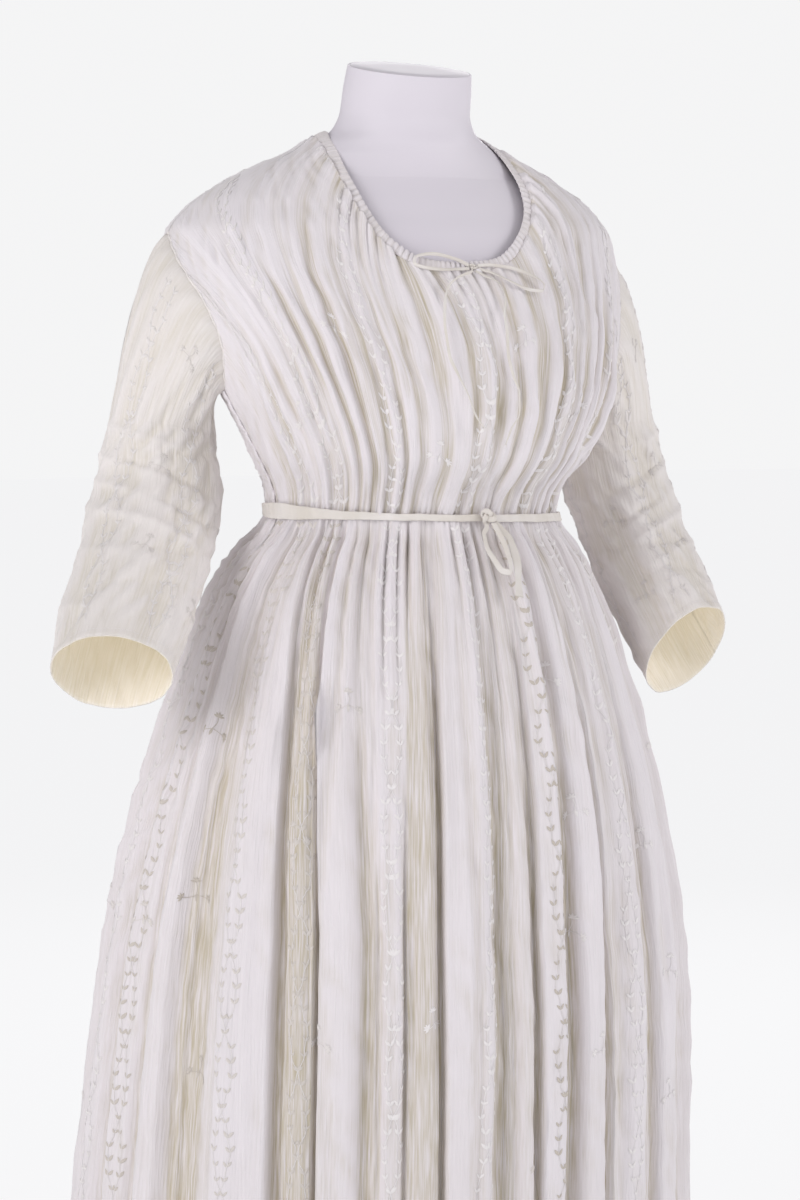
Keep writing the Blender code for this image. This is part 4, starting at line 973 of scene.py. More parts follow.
def make_casing():
    """Drawn-up channel round the neckline, a puckered tube"""
    count = 760
    s = np.arange(count) / count * 4 - 2
    front = np.abs(s) <= 1
    share = np.where(front, np.abs(s), 2 - np.abs(s))
    sign = np.where(s < 0, -1.0, 1.0)
    rings = []
    section = np.arange(14) * 2 * pi / 14
    edge = []
    for drop in (0.0, CASING_WIDTH - 2 * SEAM):
        x_f, z_f = neckline(share, drop, True)
        x_b, z_b = neckline(share, drop, False)
        x, z = np.where(front, x_f, x_b), np.where(front, z_f, z_b)
        swing = np.arcsin(np.clip(x / hull_size(z, "half_width"), 0, 1))
        edge.append((sign * np.where(front, swing, pi - swing), z))
    pleat = np.where(front, gathers(s, 84, 0.4), 0.7 * gathers(s, 64, 1.1))
    strength = np.clip(1.15 - share, 0.25, 1) * np.where(front, 1.0, 0.6)
    for turn in section:
        down = 0.5 - 0.5 * np.cos(turn)
        angle = mix(edge[0][0], edge[1][0], down)
        z = mix(edge[0][1], edge[1][1], down)
        bulge = 0.0014 + 0.0013 * np.sin(turn)
        pucker = 0.0021 * pleat * strength * (0.5 + 0.5 * np.sin(turn))
        ruffle = 0.0016 * (pleat - 0.5) * strength * np.clip(np.cos(turn), 0, 1)
        point = on_hull(angle, z, np.maximum(bulge + pucker, 0.0002))
        point[:, 2] += ruffle
        rings.append(point)
    grid = np.array(rings).transpose(1, 0, 2)
    # Painted shade: darker between the puckers of the drawn-up channel
    valley = np.clip(0.35 - 0.35 * pleat * strength, 0, 1)[:, None] + np.zeros((1, len(section)))
    faces = []
    columns = len(section)
    for r in range(count):
        for c in range(columns):
            a, b = r * columns + c, r * columns + (c + 1) % columns
            d, e = (r + 1) % count * columns + c, (r + 1) % count * columns + (c + 1) % columns
            faces.append((a, b, e, d))
    centre = grid.mean(1, keepdims=True)
    normal = np.cross(np.roll(grid, -1, 1) - grid, np.roll(grid, -1, 0) - grid)
    if np.mean(np.sum(normal * (grid - centre), -1)) < 0:
        faces = [face[::-1] for face in faces]
    run = np.append(0, np.cumsum(np.linalg.norm(np.diff(grid.mean(1), axis=0), axis=1)))
    uv = np.stack(np.meshgrid(run, np.arange(columns) * 0.0018, indexing="ij"), -1)
    points = grid.reshape(-1, 3)
    obj = add_mesh("neck_casing_cloth", points, faces, "white_muslin", uv.reshape(-1, 2), valley=valley)
    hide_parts("neck_casing")
    return obj


def spot(panel, place, height):
    """Row and column numbers of a place across the panel at a height"""
    middle = panel["height"][:, panel["height"].shape[1] // 2]
    order = np.argsort(middle)
    row = np.interp(height, middle[order], order.astype(float))
    line = panel["place"][int(round(float(row)))]
    order = np.argsort(line)
    return row, np.interp(place, line[order], order.astype(float))


def sample(panel, row, column, lift):
    """Points on a panel at fractional rows and columns, lifted off the cloth"""
    grid, normal = panel["grid"], panel["normal"]
    row = np.clip(row, 0, grid.shape[0] - 1.001)
    column = np.clip(column, 0, grid.shape[1] - 1.001)
    r, c = row.astype(int), column.astype(int)
    fr, fc = (row - r)[..., None], (column - c)[..., None]

    def at(source):
        low = mix(source[r, c], source[r, c + 1], fc)
        return mix(low, mix(source[r + 1, c], source[r + 1, c + 1], fc), fr)

    return at(grid) + unit(at(normal)) * np.asarray(lift)[..., None]


def cell_size(panel, row, column):
    """Sizes of one column and one row there, in metres"""
    grid = panel["grid"]
    r = np.clip(np.asarray(row).astype(int), 0, grid.shape[0] - 2)
    c = np.clip(np.asarray(column).astype(int), 2, grid.shape[1] - 3)
    wide = np.linalg.norm(grid[r, c + 2] - grid[r, c - 2], axis=-1) / 4
    tall = np.linalg.norm(grid[r + 1, c] - grid[r, c], axis=-1)
    return np.maximum(wide, 2e-4), np.maximum(tall, 2e-4)


LEAF = table(
    "along side rise",
    (0.00, 0.0, 0.0), (0.22, 0.75, 0.0), (0.22, -0.75, 0.0), (0.22, 0.0, 0.8),
    (0.50, 1.00, 0.0), (0.50, -1.00, 0.0), (0.50, 0.0, 1.0),
    (0.78, 0.62, 0.0), (0.78, -0.62, 0.0), (0.78, 0.0, 0.7), (1.00, 0.0, 0.0),
)
LEAF_FACES = [
    (0, 3, 1), (0, 2, 3), (1, 3, 6, 4), (3, 2, 5, 6),
    (4, 6, 9, 7), (6, 5, 8, 9), (7, 9, 10), (9, 8, 10),
]


class Thread:
    """Gathers the leaves and stems that are sewn on one panel, and makes one mesh of them"""

    def __init__(self, panel):
        self.panel = panel
        self.points = []
        self.faces = []
        self.painted_thread_shades = []
        self.count = 0

    def put(self, points, faces, tone):
        self.points.append(points)
        self.faces += [tuple(i + self.count for i in face) for face in faces]
        self.painted_thread_shades.append(np.full(len(points), tone))
        self.count += len(points)

    def leaf(self, row, column, turn, size, tone):
        """turn 0 points along the cloth's length towards the top, in degrees"""
        along = LEAF["along"] * LEAF_LENGTH * size
        side = LEAF["side"] * LEAF_WIDTH / 2 * size
        c, s = np.cos(radians(turn)), np.sin(radians(turn))
        wide, tall = cell_size(self.panel, row, column)
        columns = column + (along * s + side * c) / wide
        rows = row + self.panel["up_sign"] * (along * c - side * s) / tall
        lift = THREAD_LIFT + LEAF["rise"] * LEAF_RISE
        self.put(sample(self.panel, rows, columns, lift), LEAF_FACES, tone)

    def stem(self, rows, columns, tone, width=STEM_WIDTH):
        """A raised line of thread through the given rows and columns"""
        wide, tall = cell_size(self.panel, rows, columns)
        ahead = np.stack([np.gradient(columns) * wide, np.gradient(rows) * tall], -1)
        ahead = unit(ahead)
        strips = []
        for side, rise in ((-1, 0.0), (0, 0.0004), (1, 0.0)):
            shift = side * width / 2
            c = columns + shift * -ahead[:, 1] / wide
            r = rows + shift * ahead[:, 0] / tall
            strips.append(sample(self.panel, r, c, np.full(len(rows), THREAD_LIFT + rise)))
        grid = np.array(strips).transpose(1, 0, 2)
        self.put(grid.reshape(-1, 3), grid_faces(len(rows), 3), tone)

    def vine(self, rows, columns, tone, phase):
        """Two stems that wave across each other, with pairs of leaves"""
        wide, tall = cell_size(self.panel, rows, columns)
        run = np.append(0, np.cumsum(tall[:-1] * np.abs(np.diff(rows))))
        wave = 0.0082 * np.sin(2 * pi * run / 0.156 + phase) + 0.0008 * np.sin(2 * pi * run / 0.028)
        drift = 0.0012 * np.sin(2 * pi * run / 0.37 + phase)
        self.stem(rows, columns + (wave + drift) / wide, 0.3 * tone)
        self.stem(rows, columns + (drift - wave) / wide, 0.3 * tone)
        step = 0.0143
        for k in range(int(run[-1] / step)):
            at = (k + 0.5) * step
            size = 0.92 + 0.16 * np.sin(5.1 * k + phase)
            row = np.interp(at, run, rows)
            bend = 8 * np.sin(3.7 * k + 2 * phase)
            for way in (-1, 1):
                offset = way * np.interp(at, run, wave) + np.interp(at, run, drift)
                column = np.interp(at, run, columns) + offset / np.interp(at, run, wide)
                self.leaf(row, column, 36 + way * bend, size, tone)
                self.leaf(row, column, -36 + way * bend, size * 0.92, tone)

    def sprig(self, row, column, turn, tone, size=1.0):
        """Three small florets on short bent stalks"""
        wide, tall = cell_size(self.panel, row, column)
        up = self.panel["up_sign"]
        heads = ((0.0, 0.012, 0), (-0.0095, -0.004, -60), (0.0095, -0.005, 65))
        for x, y, way in heads:
            c, s = np.cos(radians(turn)), np.sin(radians(turn))
            dx, dy = (x * c + y * s) * size, (y * c - x * s) * size
            t = np.linspace(0, 1, 7)
            bow = 0.0015 * np.sin(pi * t)
            columns = column + (dx * t + bow) / wide
            rows = row + up * dy * t / tall
            self.stem(rows, columns, tone, 0.0006)
            for petal in (-76, -38, 0, 38, 76):
                self.leaf(rows[-1], columns[-1], way + turn + petal, 0.66 * size, tone)
        self.leaf(row, column, 180 + turn, 0.9 * size, tone)

    def finish(self, name):
        points = np.concatenate(self.points)
        obj = add_mesh(name, points, self.faces, "white_muslin", None, tone=np.concatenate(self.painted_thread_shades))
        obj.data.materials.append(MATERIALS["thread"])
        return obj


def sew_skirt(panel, vines, sprigs, name):
    panel["up_sign"] = -1
    thread = Thread(panel)
    rows = np.linspace(3, panel["grid"].shape[0] - 3, 330)
    down = np.interp(rows, np.arange(panel["grid"].shape[0]), panel["down"])
    count = np.arange(panel["place"].shape[1])
    for k, vine in enumerate(vines):
        above = mix(vine["belt"], vine["half"], down / HALF_DOWN)
        below = mix(vine["half"], vine["hem"], (down - HALF_DOWN) / (1 - HALF_DOWN))
        place = np.where(down < HALF_DOWN, above, below)
        columns = np.array([np.interp(p, panel["place"][int(r)], count) for p, r in zip(place, rows)])
        thread.vine(rows, columns, vine["tone"], 1.7 * k)
    for sprig in sprigs:
        row, column = spot(panel, sprig["across"], sprig["height"])
        thread.sprig(float(row), float(column), sprig["turn"], sprig["tone"])
    return thread.finish(name)


def sew_bodice(panel, vines, sprigs, name):
    panel["up_sign"] = 1
    thread = Thread(panel)
    rows = np.linspace(2, panel["grid"].shape[0] - 4, 150)
    for k, vine in enumerate(vines):
        columns = np.interp(vine["top"], panel["top"], np.arange(len(panel["top"]))) + 0 * rows
        thread.vine(rows, columns, vine["tone"], 0.9 + 1.3 * k)
    for sprig in sprigs:
        row, column = spot(panel, sprig["across"], sprig["height"])
        thread.sprig(float(row), float(column), sprig["turn"], sprig["tone"])
    return thread.finish(name)


def sew_sleeve(panel, places, name):
    panel["up_sign"] = -1
    thread = Thread(panel)
    rows = np.linspace(6, panel["grid"].shape[0] - 8, 170)
    # Sleeve thread is given a fixed painted shade of 0.3 and 0.4
    for k, place in enumerate(places):
        columns = place / 360 * len(panel["turn"]) + 0 * rows
        thread.vine(rows, columns, 0.3, 0.5 + 1.9 * k)
    for k in range(6):
        row = 14 + 17 * k
        column = (places[k % 2] + 38) / 360 * len(panel["turn"])
        thread.sprig(float(row), float(column), 15 * (-1) ** k, 0.4, 0.9)
    return thread.finish(name)


def route(rows, spacing):
    """Even points along a smooth curve through a tie's rows"""
    angle = np.radians(rows["angle"])
    places = on_hull(angle, rows["height"], rows["out"])
    length = np.append(0, np.cumsum(np.linalg.norm(np.diff(places, axis=0), axis=1)))
    fine = np.linspace(0, length[-1], 400)
    curve = np.stack([smooth_curve(fine, length, places[:, k]) for k in range(3)], -1)
    run = np.append(0, np.cumsum(np.linalg.norm(np.diff(curve, axis=0), axis=1)))
    count = int(round(run[-1] / spacing)) + 1
    return np.stack([np.interp(np.linspace(0, run[-1], count), run, curve[:, k]) for k in range(3)], -1)


def sweep(name, path, face, width, thick, slot, sides=12, closed=False, twist=0.0, taper=None):
    """A flat tie with rounded edges along a path; face is the way its broad side looks"""
    ahead = np.gradient(path, axis=0)
    if closed:
        ahead = np.roll(path, -1, 0) - np.roll(path, 1, 0)
    ahead = unit(ahead)
    face = unit(face - ahead * np.sum(face * ahead, 1)[:, None])
    across = np.cross(ahead, face)
    turn = np.arange(sides) * 2 * pi / sides
    roll = twist * np.sin(np.linspace(0, 3 * pi, len(path)))
    taper = np.ones(len(path)) if taper is None else taper
    flat = np.sign(np.cos(turn)) * np.abs(np.cos(turn)) ** 0.6
    grid = []
    for k in range(len(path)):
        a = across[k] * np.cos(roll[k]) + face[k] * np.sin(roll[k])
        f = face[k] * np.cos(roll[k]) - across[k] * np.sin(roll[k])
        ring = path[k] + a * (flat * width / 2 * taper[k])[:, None] + f * (np.sin(turn) * thick / 2)[:, None]
        grid.append(ring)
    grid = np.array(grid)
    count = len(path)
    faces = grid_faces(count, sides, closed=True)
    points = grid.reshape(-1, 3)
    if closed:
        last = (count - 1) * sides
        faces += [(last + c, last + (c + 1) % sides, (c + 1) % sides, c) for c in range(sides)]
    else:
        points = np.concatenate([points, path[:1], path[-1:]])
        faces += [((c + 1) % sides, c, len(points) - 2) for c in range(sides)]
        last = (count - 1) * sides
        faces += [(last + c, last + (c + 1) % sides, len(points) - 1) for c in range(sides)]
    corners = [points[[face[k] for face in faces]] for k in range(3)]
    if np.sum(np.cross(corners[0], corners[1]) * corners[2]) < 0:
        faces = [face[::-1] for face in faces]
    run = np.append(0, np.cumsum(np.linalg.norm(np.diff(path, axis=0), axis=1)))
    uv = np.stack(np.meshgrid(run, np.arange(sides) * width / sides, indexing="ij"), -1).reshape(-1, 2)
    if not closed:
        uv = np.concatenate([uv, uv[:1], uv[-1:]])
    return add_mesh(name, points, faces, slot, uv, valley=np.zeros(len(points)))


def hull_face(path):
    angle = np.arctan2(path[:, 0], -path[:, 1])
    return np.stack([np.sin(angle), -np.cos(angle), 0.15 + 0 * angle], -1)


def frayed(name, tip, ahead, spread, count, length):
    """Loose threads at a tie's cut end"""
    side = unit(np.cross(ahead, np.array([0.0, 1.0, 0.2])))
    points, faces = [], []
    for k in range(count):
        t = np.linspace(0, 1, 6)
        share = (k - (count - 1) / 2) / count
        reach = length * (0.6 + 0.4 * np.cos(2.3 * k))
        line = tip + ahead * (t * reach)[:, None] + side * (share * spread * (1 + 1.6 * t))[:, None]
        line[:, 1] -= 0.0006 * np.sin(pi * t) * (1 + k % 2)
        first = len(points)
        for j, point in enumerate(line):
            thin = 0.00014 * (1.15 - t[j])
            points += [point + side * thin, point - side * thin, point + np.array([0, -1.6 * thin, 0])]
        for j in range(5):
            a = first + 3 * j
            faces += [(a, a + 1, a + 4, a + 3), (a + 1, a + 2, a + 5, a + 4), (a + 2, a, a + 3, a + 5)]
    points = np.array(points)
    none = np.zeros(len(points))
    obj = add_mesh(name, points, faces, "white_tape", np.stack([none, none], -1), valley=none)
    obj.data.materials.append(MATERIALS["tape"])
    return obj


def knot_path(middle, sizes, tilt):
    """A trefoil, the simplest knot, squashed to the knot's three sizes"""
    t = np.arange(90) * 2 * pi / 90
    x = np.sin(t) + 2 * np.sin(2 * t)
    z = np.cos(t) - 2 * np.cos(2 * t)
    y = -np.sin(3 * t)
    c, s = np.cos(tilt), np.sin(tilt)
    x, z = x / 3, z / 3
    return middle + np.stack([(x * c + z * s) * sizes[0], y * sizes[1], (z * c - x * s) * sizes[2]], -1)


def make_ties():
    tape = MATERIALS["tape"]
    neck_middle = on_hull(radians(NECK_KNOT[0]), NECK_KNOT[1], 0.0066)
    path = knot_path(neck_middle, (0.0036, 0.0011, 0.0029), 0.3)
    knot = sweep("neck_knot_tie", path, hull_face(path), 0.0021, 0.0012, "white_tape", 8, True)
    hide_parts("neck_knot")
    knot.data.materials.append(tape)
    waist_middle = on_hull(radians(WAIST_KNOT[0]), WAIST_KNOT[1], 0.0136)
    path = knot_path(waist_middle, (0.0068, 0.0022, 0.0062), 0.5)
    wide = sweep("waist_knot_tie", path, hull_face(path), 0.0056, 0.0020, "white_tape", 10, True)
    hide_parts("waist_knot")
    wide.data.materials.append(tape)
    ties = (
        ("neck_loop_right", NECK_LOOP_RIGHT, 0.0034, 0.0010, "knot", 0.5),
        ("neck_loop_left", NECK_LOOP_LEFT, 0.0034, 0.0010, "knot", 0.6),
        ("neck_tail_right", NECK_TAIL_RIGHT, 0.0030, 0.0010, "bare", 0.9),
        ("neck_tail_left", NECK_TAIL_LEFT, 0.0030, 0.0010, "bare", 0.8),
        ("waist_loop", WAIST_LOOP, 0.0060, 0.0010, "knot", 0.3),
        ("waist_tail", WAIST_TAIL, 0.0100, 0.0010, "bare", 0.2),
    )
    for name, rows, width, thick, end, twist in ties:
        rows = rows.copy()
        if end == "bare":
            lift = TAIL_LIFT if width < 0.005 else 0.5 * TAIL_LIFT
            rows["out"] += lift * np.sin(pi / 2 * np.linspace(0, 1, len(rows))) ** 0.6
        path = route(rows, 0.0016)
        taper = np.ones(len(path))
        if end == "bare" and width < 0.005:
            taper = np.clip(np.arange(len(path))[::-1] / 8, 0.45, 1)
        face = hull_face(path)
        obj = sweep(name + "_tie", path, face, width, thick, "white_tape", 12, False, twist, taper)
        obj.data.materials.append(tape)
        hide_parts(name)
        if end == "bare":
            ahead = unit(path[-1] - path[-3])
            fringe = 0.006 if width < 0.005 else 0.002
            frayed(name + "_fray", path[-1], ahead, width * 0.7, 7, fringe)


def make_armhole_seam(side, name):
    """The felled seam that joins a sleeve to the body, a low uneven ridge"""
    turn = np.linspace(0, 2 * pi, 220, endpoint=False)
    path = armhole(turn, side, 0.0002)
    away = np.array([side, 0, 0]) * (0.0006 + 0.0004 * np.sin(23 * turn))[:, None]
    path = path + away
    face = np.tile(np.array([side * 1.0, -0.2, 0.1]), (len(path), 1))
    width = 0.0030 * (1 + 0.18 * np.sin(37 * turn) + 0.12 * np.sin(61 * turn))
    obj = sweep(name, path, face, 0.0030, 0.0020, "white_muslin", 8, True, 0.0, width / 0.0030)
    obj.data.materials.append(MATERIALS["sleeve"])
    return obj


def make_side_seam(panel, column, side, name, width=0.0052):
    """The seam under the arm, a flat felled ridge drawn up in small scallops"""
    path = panel["grid"][2:, column].copy()
    run = np.append(0, np.cumsum(np.linalg.norm(np.diff(path, axis=0), axis=1)))
    fine = np.linspace(0, run[-1], 160)
    path = np.stack([np.interp(fine, run, path[:, k]) for k in range(3)], -1)
    path[:, 0] += side * (0.0004 + 0.0012 * np.abs(np.sin(2 * pi * fine / 0.034)))
    path[:, 1] += 0.16 * width
    face = np.tile(np.array([float(side), 0.0, 0.0]), (len(path), 1))
    taper = 1 + 0.25 * np.abs(np.sin(2 * pi * fine / 0.034))
    obj = sweep(name, path, face, width, 0.5 * width, "white_muslin", 10, False, 0.0, taper)
    obj.data.materials.append(MATERIALS["muslin"])
    return obj


def make_waist_tape():
    """Folded tape round the belt: two layers with a soft crease, wider at the wearer's right"""
    count = 520
    angle = np.linspace(-pi, pi, count, endpoint=False)
    crease = np.exp(-(((angle + 1.45) / 0.42) ** 2))
    half = TAPE_WIDTH / 2 + 0.0042 * crease
    section = np.arange(16) * 2 * pi / 16
    grid = []
    for turn in section:
        share = np.sign(np.cos(turn)) * np.abs(np.cos(turn)) ** 0.55
        height = belt_height(angle) + share * half * 0.98 + 0.0003 * np.sin(17 * angle)
        fold = 0.0006 * np.exp(-(((share - 0.30 - 0.12 * np.sin(3 * angle)) / 0.10) ** 2))
        fold = fold + 0.0006 * crease * np.exp(-(((share + 0.35) / 0.10) ** 2))
        ripple = 0.00035 * np.sin(31 * angle + 2 * share) + 0.0003 * np.sin(67 * angle)
        thick = TAPE_WALL * 0.62 * np.sin(turn)
        fold = -fold if np.sin(turn) > 0 else 0 * fold
        grid.append(on_hull(angle, height, TAPE_LIFT + TAPE_WALL / 2 + thick + fold + ripple))
    grid = np.array(grid).transpose(1, 0, 2)
    columns = len(section)
    faces = []
    for r in range(count):
        for c in range(columns):
            a, b = r * columns + c, r * columns + (c + 1) % columns
            d, e = (r + 1) % count * columns + c, (r + 1) % count * columns + (c + 1) % columns
            faces.append((a, b, e, d))
    centre = grid.mean(1, keepdims=True)
    normal = np.cross(np.roll(grid, -1, 1) - grid, np.roll(grid, -1, 0) - grid)
    if np.mean(np.sum(normal * (grid - centre), -1)) < 0:
        faces = [face[::-1] for face in faces]
    run = np.append(0, np.cumsum(np.linalg.norm(np.diff(grid.mean(1), axis=0), axis=1)))
    uv = np.stack(np.meshgrid(run, np.arange(columns) * 0.0015, indexing="ij"), -1)
    obj = add_mesh("waist_tape_cloth", grid.reshape(-1, 3), faces, "white_tape", uv.reshape(-1, 2),
                   valley=np.zeros(count * columns))
    obj.data.materials.append(MATERIALS["tape"])
    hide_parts("waist_tape")
    return obj


def make_form():
    """Smooth torso and neck with a cap that has a soft rim"""
    sides = 144
    turn = np.arange(sides) * 2 * pi / sides
    rings = []
    for level in np.linspace(0, len(FORM) - 1, 70):
        row = {n: smooth_curve(level, np.arange(len(FORM)), FORM[n]) for n in FORM.dtype.names}
        at = np.maximum(row["height"], BELT_HEIGHT) + 0 * turn
        ring = hull_point(turn, at) - hull_out(turn, at) * row["inside"]
        ring[:, :2] *= row["share"]
        ring[:, 2] += row["height"] - at
        rings.append(ring)
    count = len(FORM_NECK)
    for level in np.append(np.linspace(0, count - 1.02, 30), count - 1):
        row = {n: smooth_curve(level, np.arange(count), FORM_NECK[n]) for n in FORM_NECK.dtype.names}
        depth = np.where(np.cos(turn) > 0, row["front"], row["back"])
        y = row["middle"] - depth * np.cos(turn)
        z = row["height"] + row["slope"] * (y - row["middle"])
        rings.append(np.stack([row["half_width"] * np.sin(turn), y, z], -1))
    top = rings[-1]
    middle = top.mean(0)
    for inset, rise in ((0.985, 0.0), (0.97, -0.0004), (0.955, 0.0004), (0.6, 0.0006), (0.2, 0.0007)):
        rings.append(mix(middle, top, inset) + np.array([0, 0, rise]))
    grid = np.array(rings)
    points = np.concatenate([grid.reshape(-1, 3), [grid[0].mean(0)], [grid[-1].mean(0)]])
    faces = grid_faces(*grid.shape[:2], closed=True)
    last = (len(grid) - 1) * sides
    faces += [((c + 1) % sides, c, len(points) - 2) for c in range(sides)]
    faces += [(last + c, last + (c + 1) % sides, len(points) - 1) for c in range(sides)]
    corners = [points[[face[k] for face in faces]] for k in range(3)]
    if np.sum(np.cross(corners[0], corners[1]) * corners[2]) < 0:
        faces = [face[::-1] for face in faces]
    obj = add_mesh("dress_form_smooth", points, faces, "form_cover")
    obj.data.set_sharp_from_angle(angle=radians(50))
    obj.data.materials.append(MATERIALS["form"])
    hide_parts("dress_form")
    return obj


def stitch_line(name, path, out, length, gap, width, material):
    """A row of short running stitches along a path"""
    run = np.append(0, np.cumsum(np.linalg.norm(np.diff(path, axis=0), axis=1)))
    points, faces = [], []
    count = int(run[-1] / (length + gap))
    for k in range(count):
        at = (length + gap) * (k + 0.5) + np.array([-0.5, 0.0, 0.5]) * length
        line = np.stack([np.interp(at, run, path[:, j]) for j in range(3)], -1)
        up = unit(np.stack([np.interp(at, run, out[:, j]) for j in range(3)], -1))
        side = unit(np.cross(line[2] - line[0], up[1]))
        first = len(points)
        for j, rise in enumerate((0.0001, 0.0005, 0.0001)):
            points += [line[j] + up[j] * rise - side * width / 2, line[j] + up[j] * (rise + 0.0002),
                       line[j] + up[j] * rise + side * width / 2]
        for j in range(2):
            a = first + 3 * j
            faces += [(a, a + 1, a + 4, a + 3), (a + 1, a + 2, a + 5, a + 4)]
    points = np.array(points)
    # Stitches get a light painted shade of 0.15
    obj = add_mesh(name, points, faces, "white_muslin", None, tone=np.full(len(points), 0.15))
    obj.data.materials.append(material)
    return obj


def new_material(name, colour, roughness, metallic=0.0, sheen=0.0):
    material = bpy.data.materials.new(name)
    material.use_nodes = True
    nodes, links = material.node_tree.nodes, material.node_tree.links
    shader = nodes["Principled BSDF"]
    shader.inputs["Base Color"].default_value = (*colour, 1)
    shader.inputs["Roughness"].default_value = roughness
    shader.inputs["Metallic"].default_value = metallic
    shader.inputs["Sheen Weight"].default_value = sheen
    shader.inputs["Sheen Roughness"].default_value = 0.5
    return material, nodes, links, shader


def colour_mix(nodes, links, factor, first, second):
    """Colour between two, by a factor socket"""
    blend = nodes.new("ShaderNodeMix")
    blend.data_type = "RGBA"
    links.new(factor, blend.inputs["Factor"])
    for socket, colour in ((blend.inputs["A"], first), (blend.inputs["B"], second)):
        if hasattr(colour, "is_linked"):
            links.new(colour, socket)
        else:
            socket.default_value = (*colour, 1)
    return blend.outputs["Result"]


def noise(nodes, links, vector, scale, detail=2.0, stretch=(1, 1, 1)):
    mapping = nodes.new("ShaderNodeMapping")
    mapping.inputs["Scale"].default_value = stretch
    links.new(vector, mapping.inputs["Vector"])
    texture = nodes.new("ShaderNodeTexNoise")
    texture.inputs["Scale"].default_value = scale
    texture.inputs["Detail"].default_value = detail
    links.new(mapping.outputs["Vector"], texture.inputs["Vector"])
    return texture.outputs["Fac"]


def bump(nodes, links, height, distance, strength, normal=None):
    node = nodes.new("ShaderNodeBump")
    node.inputs["Distance"].default_value = distance
    node.inputs["Strength"].default_value = strength
    links.new(height, node.inputs["Height"])
    if normal is not None:
        links.new(normal, node.inputs["Normal"])
    return node.outputs["Normal"]


def ramp(nodes, links, value, low, high):
    node = nodes.new("ShaderNodeMapRange")
    node.inputs["From Min"].default_value = low
    node.inputs["From Max"].default_value = high
    links.new(value, node.inputs["Value"])
    return node.outputs["Result"]


def muslin_material(name, light, painted_shade_colour, glow=(0, 0, 0)):
    """Crinkled muslin with fine ribs: painted beige shade in fold hollows, creases and on single cloth,
    lighter rib crests as a painted highlight, and painted light on a sleeve's inner layer
    """
    material, nodes, links, shader = new_material(name, light, 0.88, 0.0, 0.25)
    uv = nodes.new("ShaderNodeUVMap")
    uv.uv_map = "UVMap"
    valley = nodes.new("ShaderNodeAttribute")
    valley.attribute_name = "valley"
    ribs = noise(nodes, links, uv.outputs["UV"], 1.0, 3.0, (520, 20, 1))
    broad = noise(nodes, links, uv.outputs["UV"], 1.0, 2.0, (130, 11, 1))
    cloud = noise(nodes, links, uv.outputs["UV"], 9.0, 3.0)
    weave = noise(nodes, links, uv.outputs["UV"], 1400.0, 2.0)
    # Painted shade: the attribute mixes the lit colour towards a darker beige shade colour in hollows and on
    # single cloth
    base = colour_mix(nodes, links, valley.outputs["Fac"], light, painted_shade_colour)
    # Painted highlight: the rib crests, raised by the same noise in the bump below, are coloured lighter
    painted_rib_highlight = colour_mix(nodes, links, ramp(nodes, links, ribs, 0.35, 0.75), base,
                        tuple(min(1.0, 1.045 * c) for c in light))
    shade = nodes.new("ShaderNodeMix")
    shade.data_type = "RGBA"
    shade.blend_type = "MULTIPLY"
    shade.inputs["Factor"].default_value = 0.5
    links.new(painted_rib_highlight, shade.inputs["A"])
    tint = colour_mix(nodes, links, ramp(nodes, links, cloud, 0.3, 0.7), (0.93, 0.92, 0.90), (1.0, 1.0, 1.0))
    links.new(tint, shade.inputs["B"])
    links.new(shade.outputs["Result"], shader.inputs["Base Color"])
    # Painted light: emission on faces marked by the attribute, standing in for light through the cloth
    inside = nodes.new("ShaderNodeAttribute")
    inside.attribute_name = "glow"
    through = colour_mix(nodes, links, inside.outputs["Fac"], (0.0, 0.0, 0.0), glow)
    links.new(through, shader.inputs["Emission Color"])
    shader.inputs["Emission Strength"].default_value = 1.0
    normal = bump(nodes, links, ribs, 0.0014, 0.70)
    normal = bump(nodes, links, broad, 0.0022, 0.30, normal)
    normal = bump(nodes, links, weave, 0.0002, 0.30, normal)
    links.new(normal, shader.inputs["Normal"])
    return material


def thread_material():
    """Cotton thread: white on doubled cloth, painted tan shade where light passes the cloth behind it"""
    material, nodes, links, shader = new_material("sewn_thread", (0.86, 0.85, 0.85), 0.7, 0.0, 0.2)
    tone = nodes.new("ShaderNodeAttribute")
    tone.attribute_name = "tone"
    # Painted shade: the attribute darkens the white thread to tan where light would show through the cloth
    # behind it
    colour = colour_mix(nodes, links, tone.outputs["Fac"], (0.86, 0.83, 0.84), (0.48, 0.42, 0.35))
    links.new(colour, shader.inputs["Base Color"])
    place = nodes.new("ShaderNodeTexCoord")
    fibre = noise(nodes, links, place.outputs["Object"], 2600.0, 2.0)
    links.new(bump(nodes, links, fibre, 0.0002, 0.4), shader.inputs["Normal"])
    return material


def tape_material():
    """Narrow woven cotton tape with a fine rib along it"""
    material, nodes, links, shader = new_material("woven_tape", (0.80, 0.78, 0.75), 0.8, 0.0, 0.2)
    uv = nodes.new("ShaderNodeUVMap")
    uv.uv_map = "UVMap"
    ribs = noise(nodes, links, uv.outputs["UV"], 1.0, 2.0, (60, 1500, 1))
    soil = noise(nodes, links, uv.outputs["UV"], 24.0, 3.0)
    share = ramp(nodes, links, soil, 0.35, 0.7)
    colour = colour_mix(nodes, links, share, (0.66, 0.615, 0.56), (0.76, 0.725, 0.70))
    links.new(colour, shader.inputs["Base Color"])
    links.new(bump(nodes, links, ribs, 0.0004, 0.5), shader.inputs["Normal"])
    return material


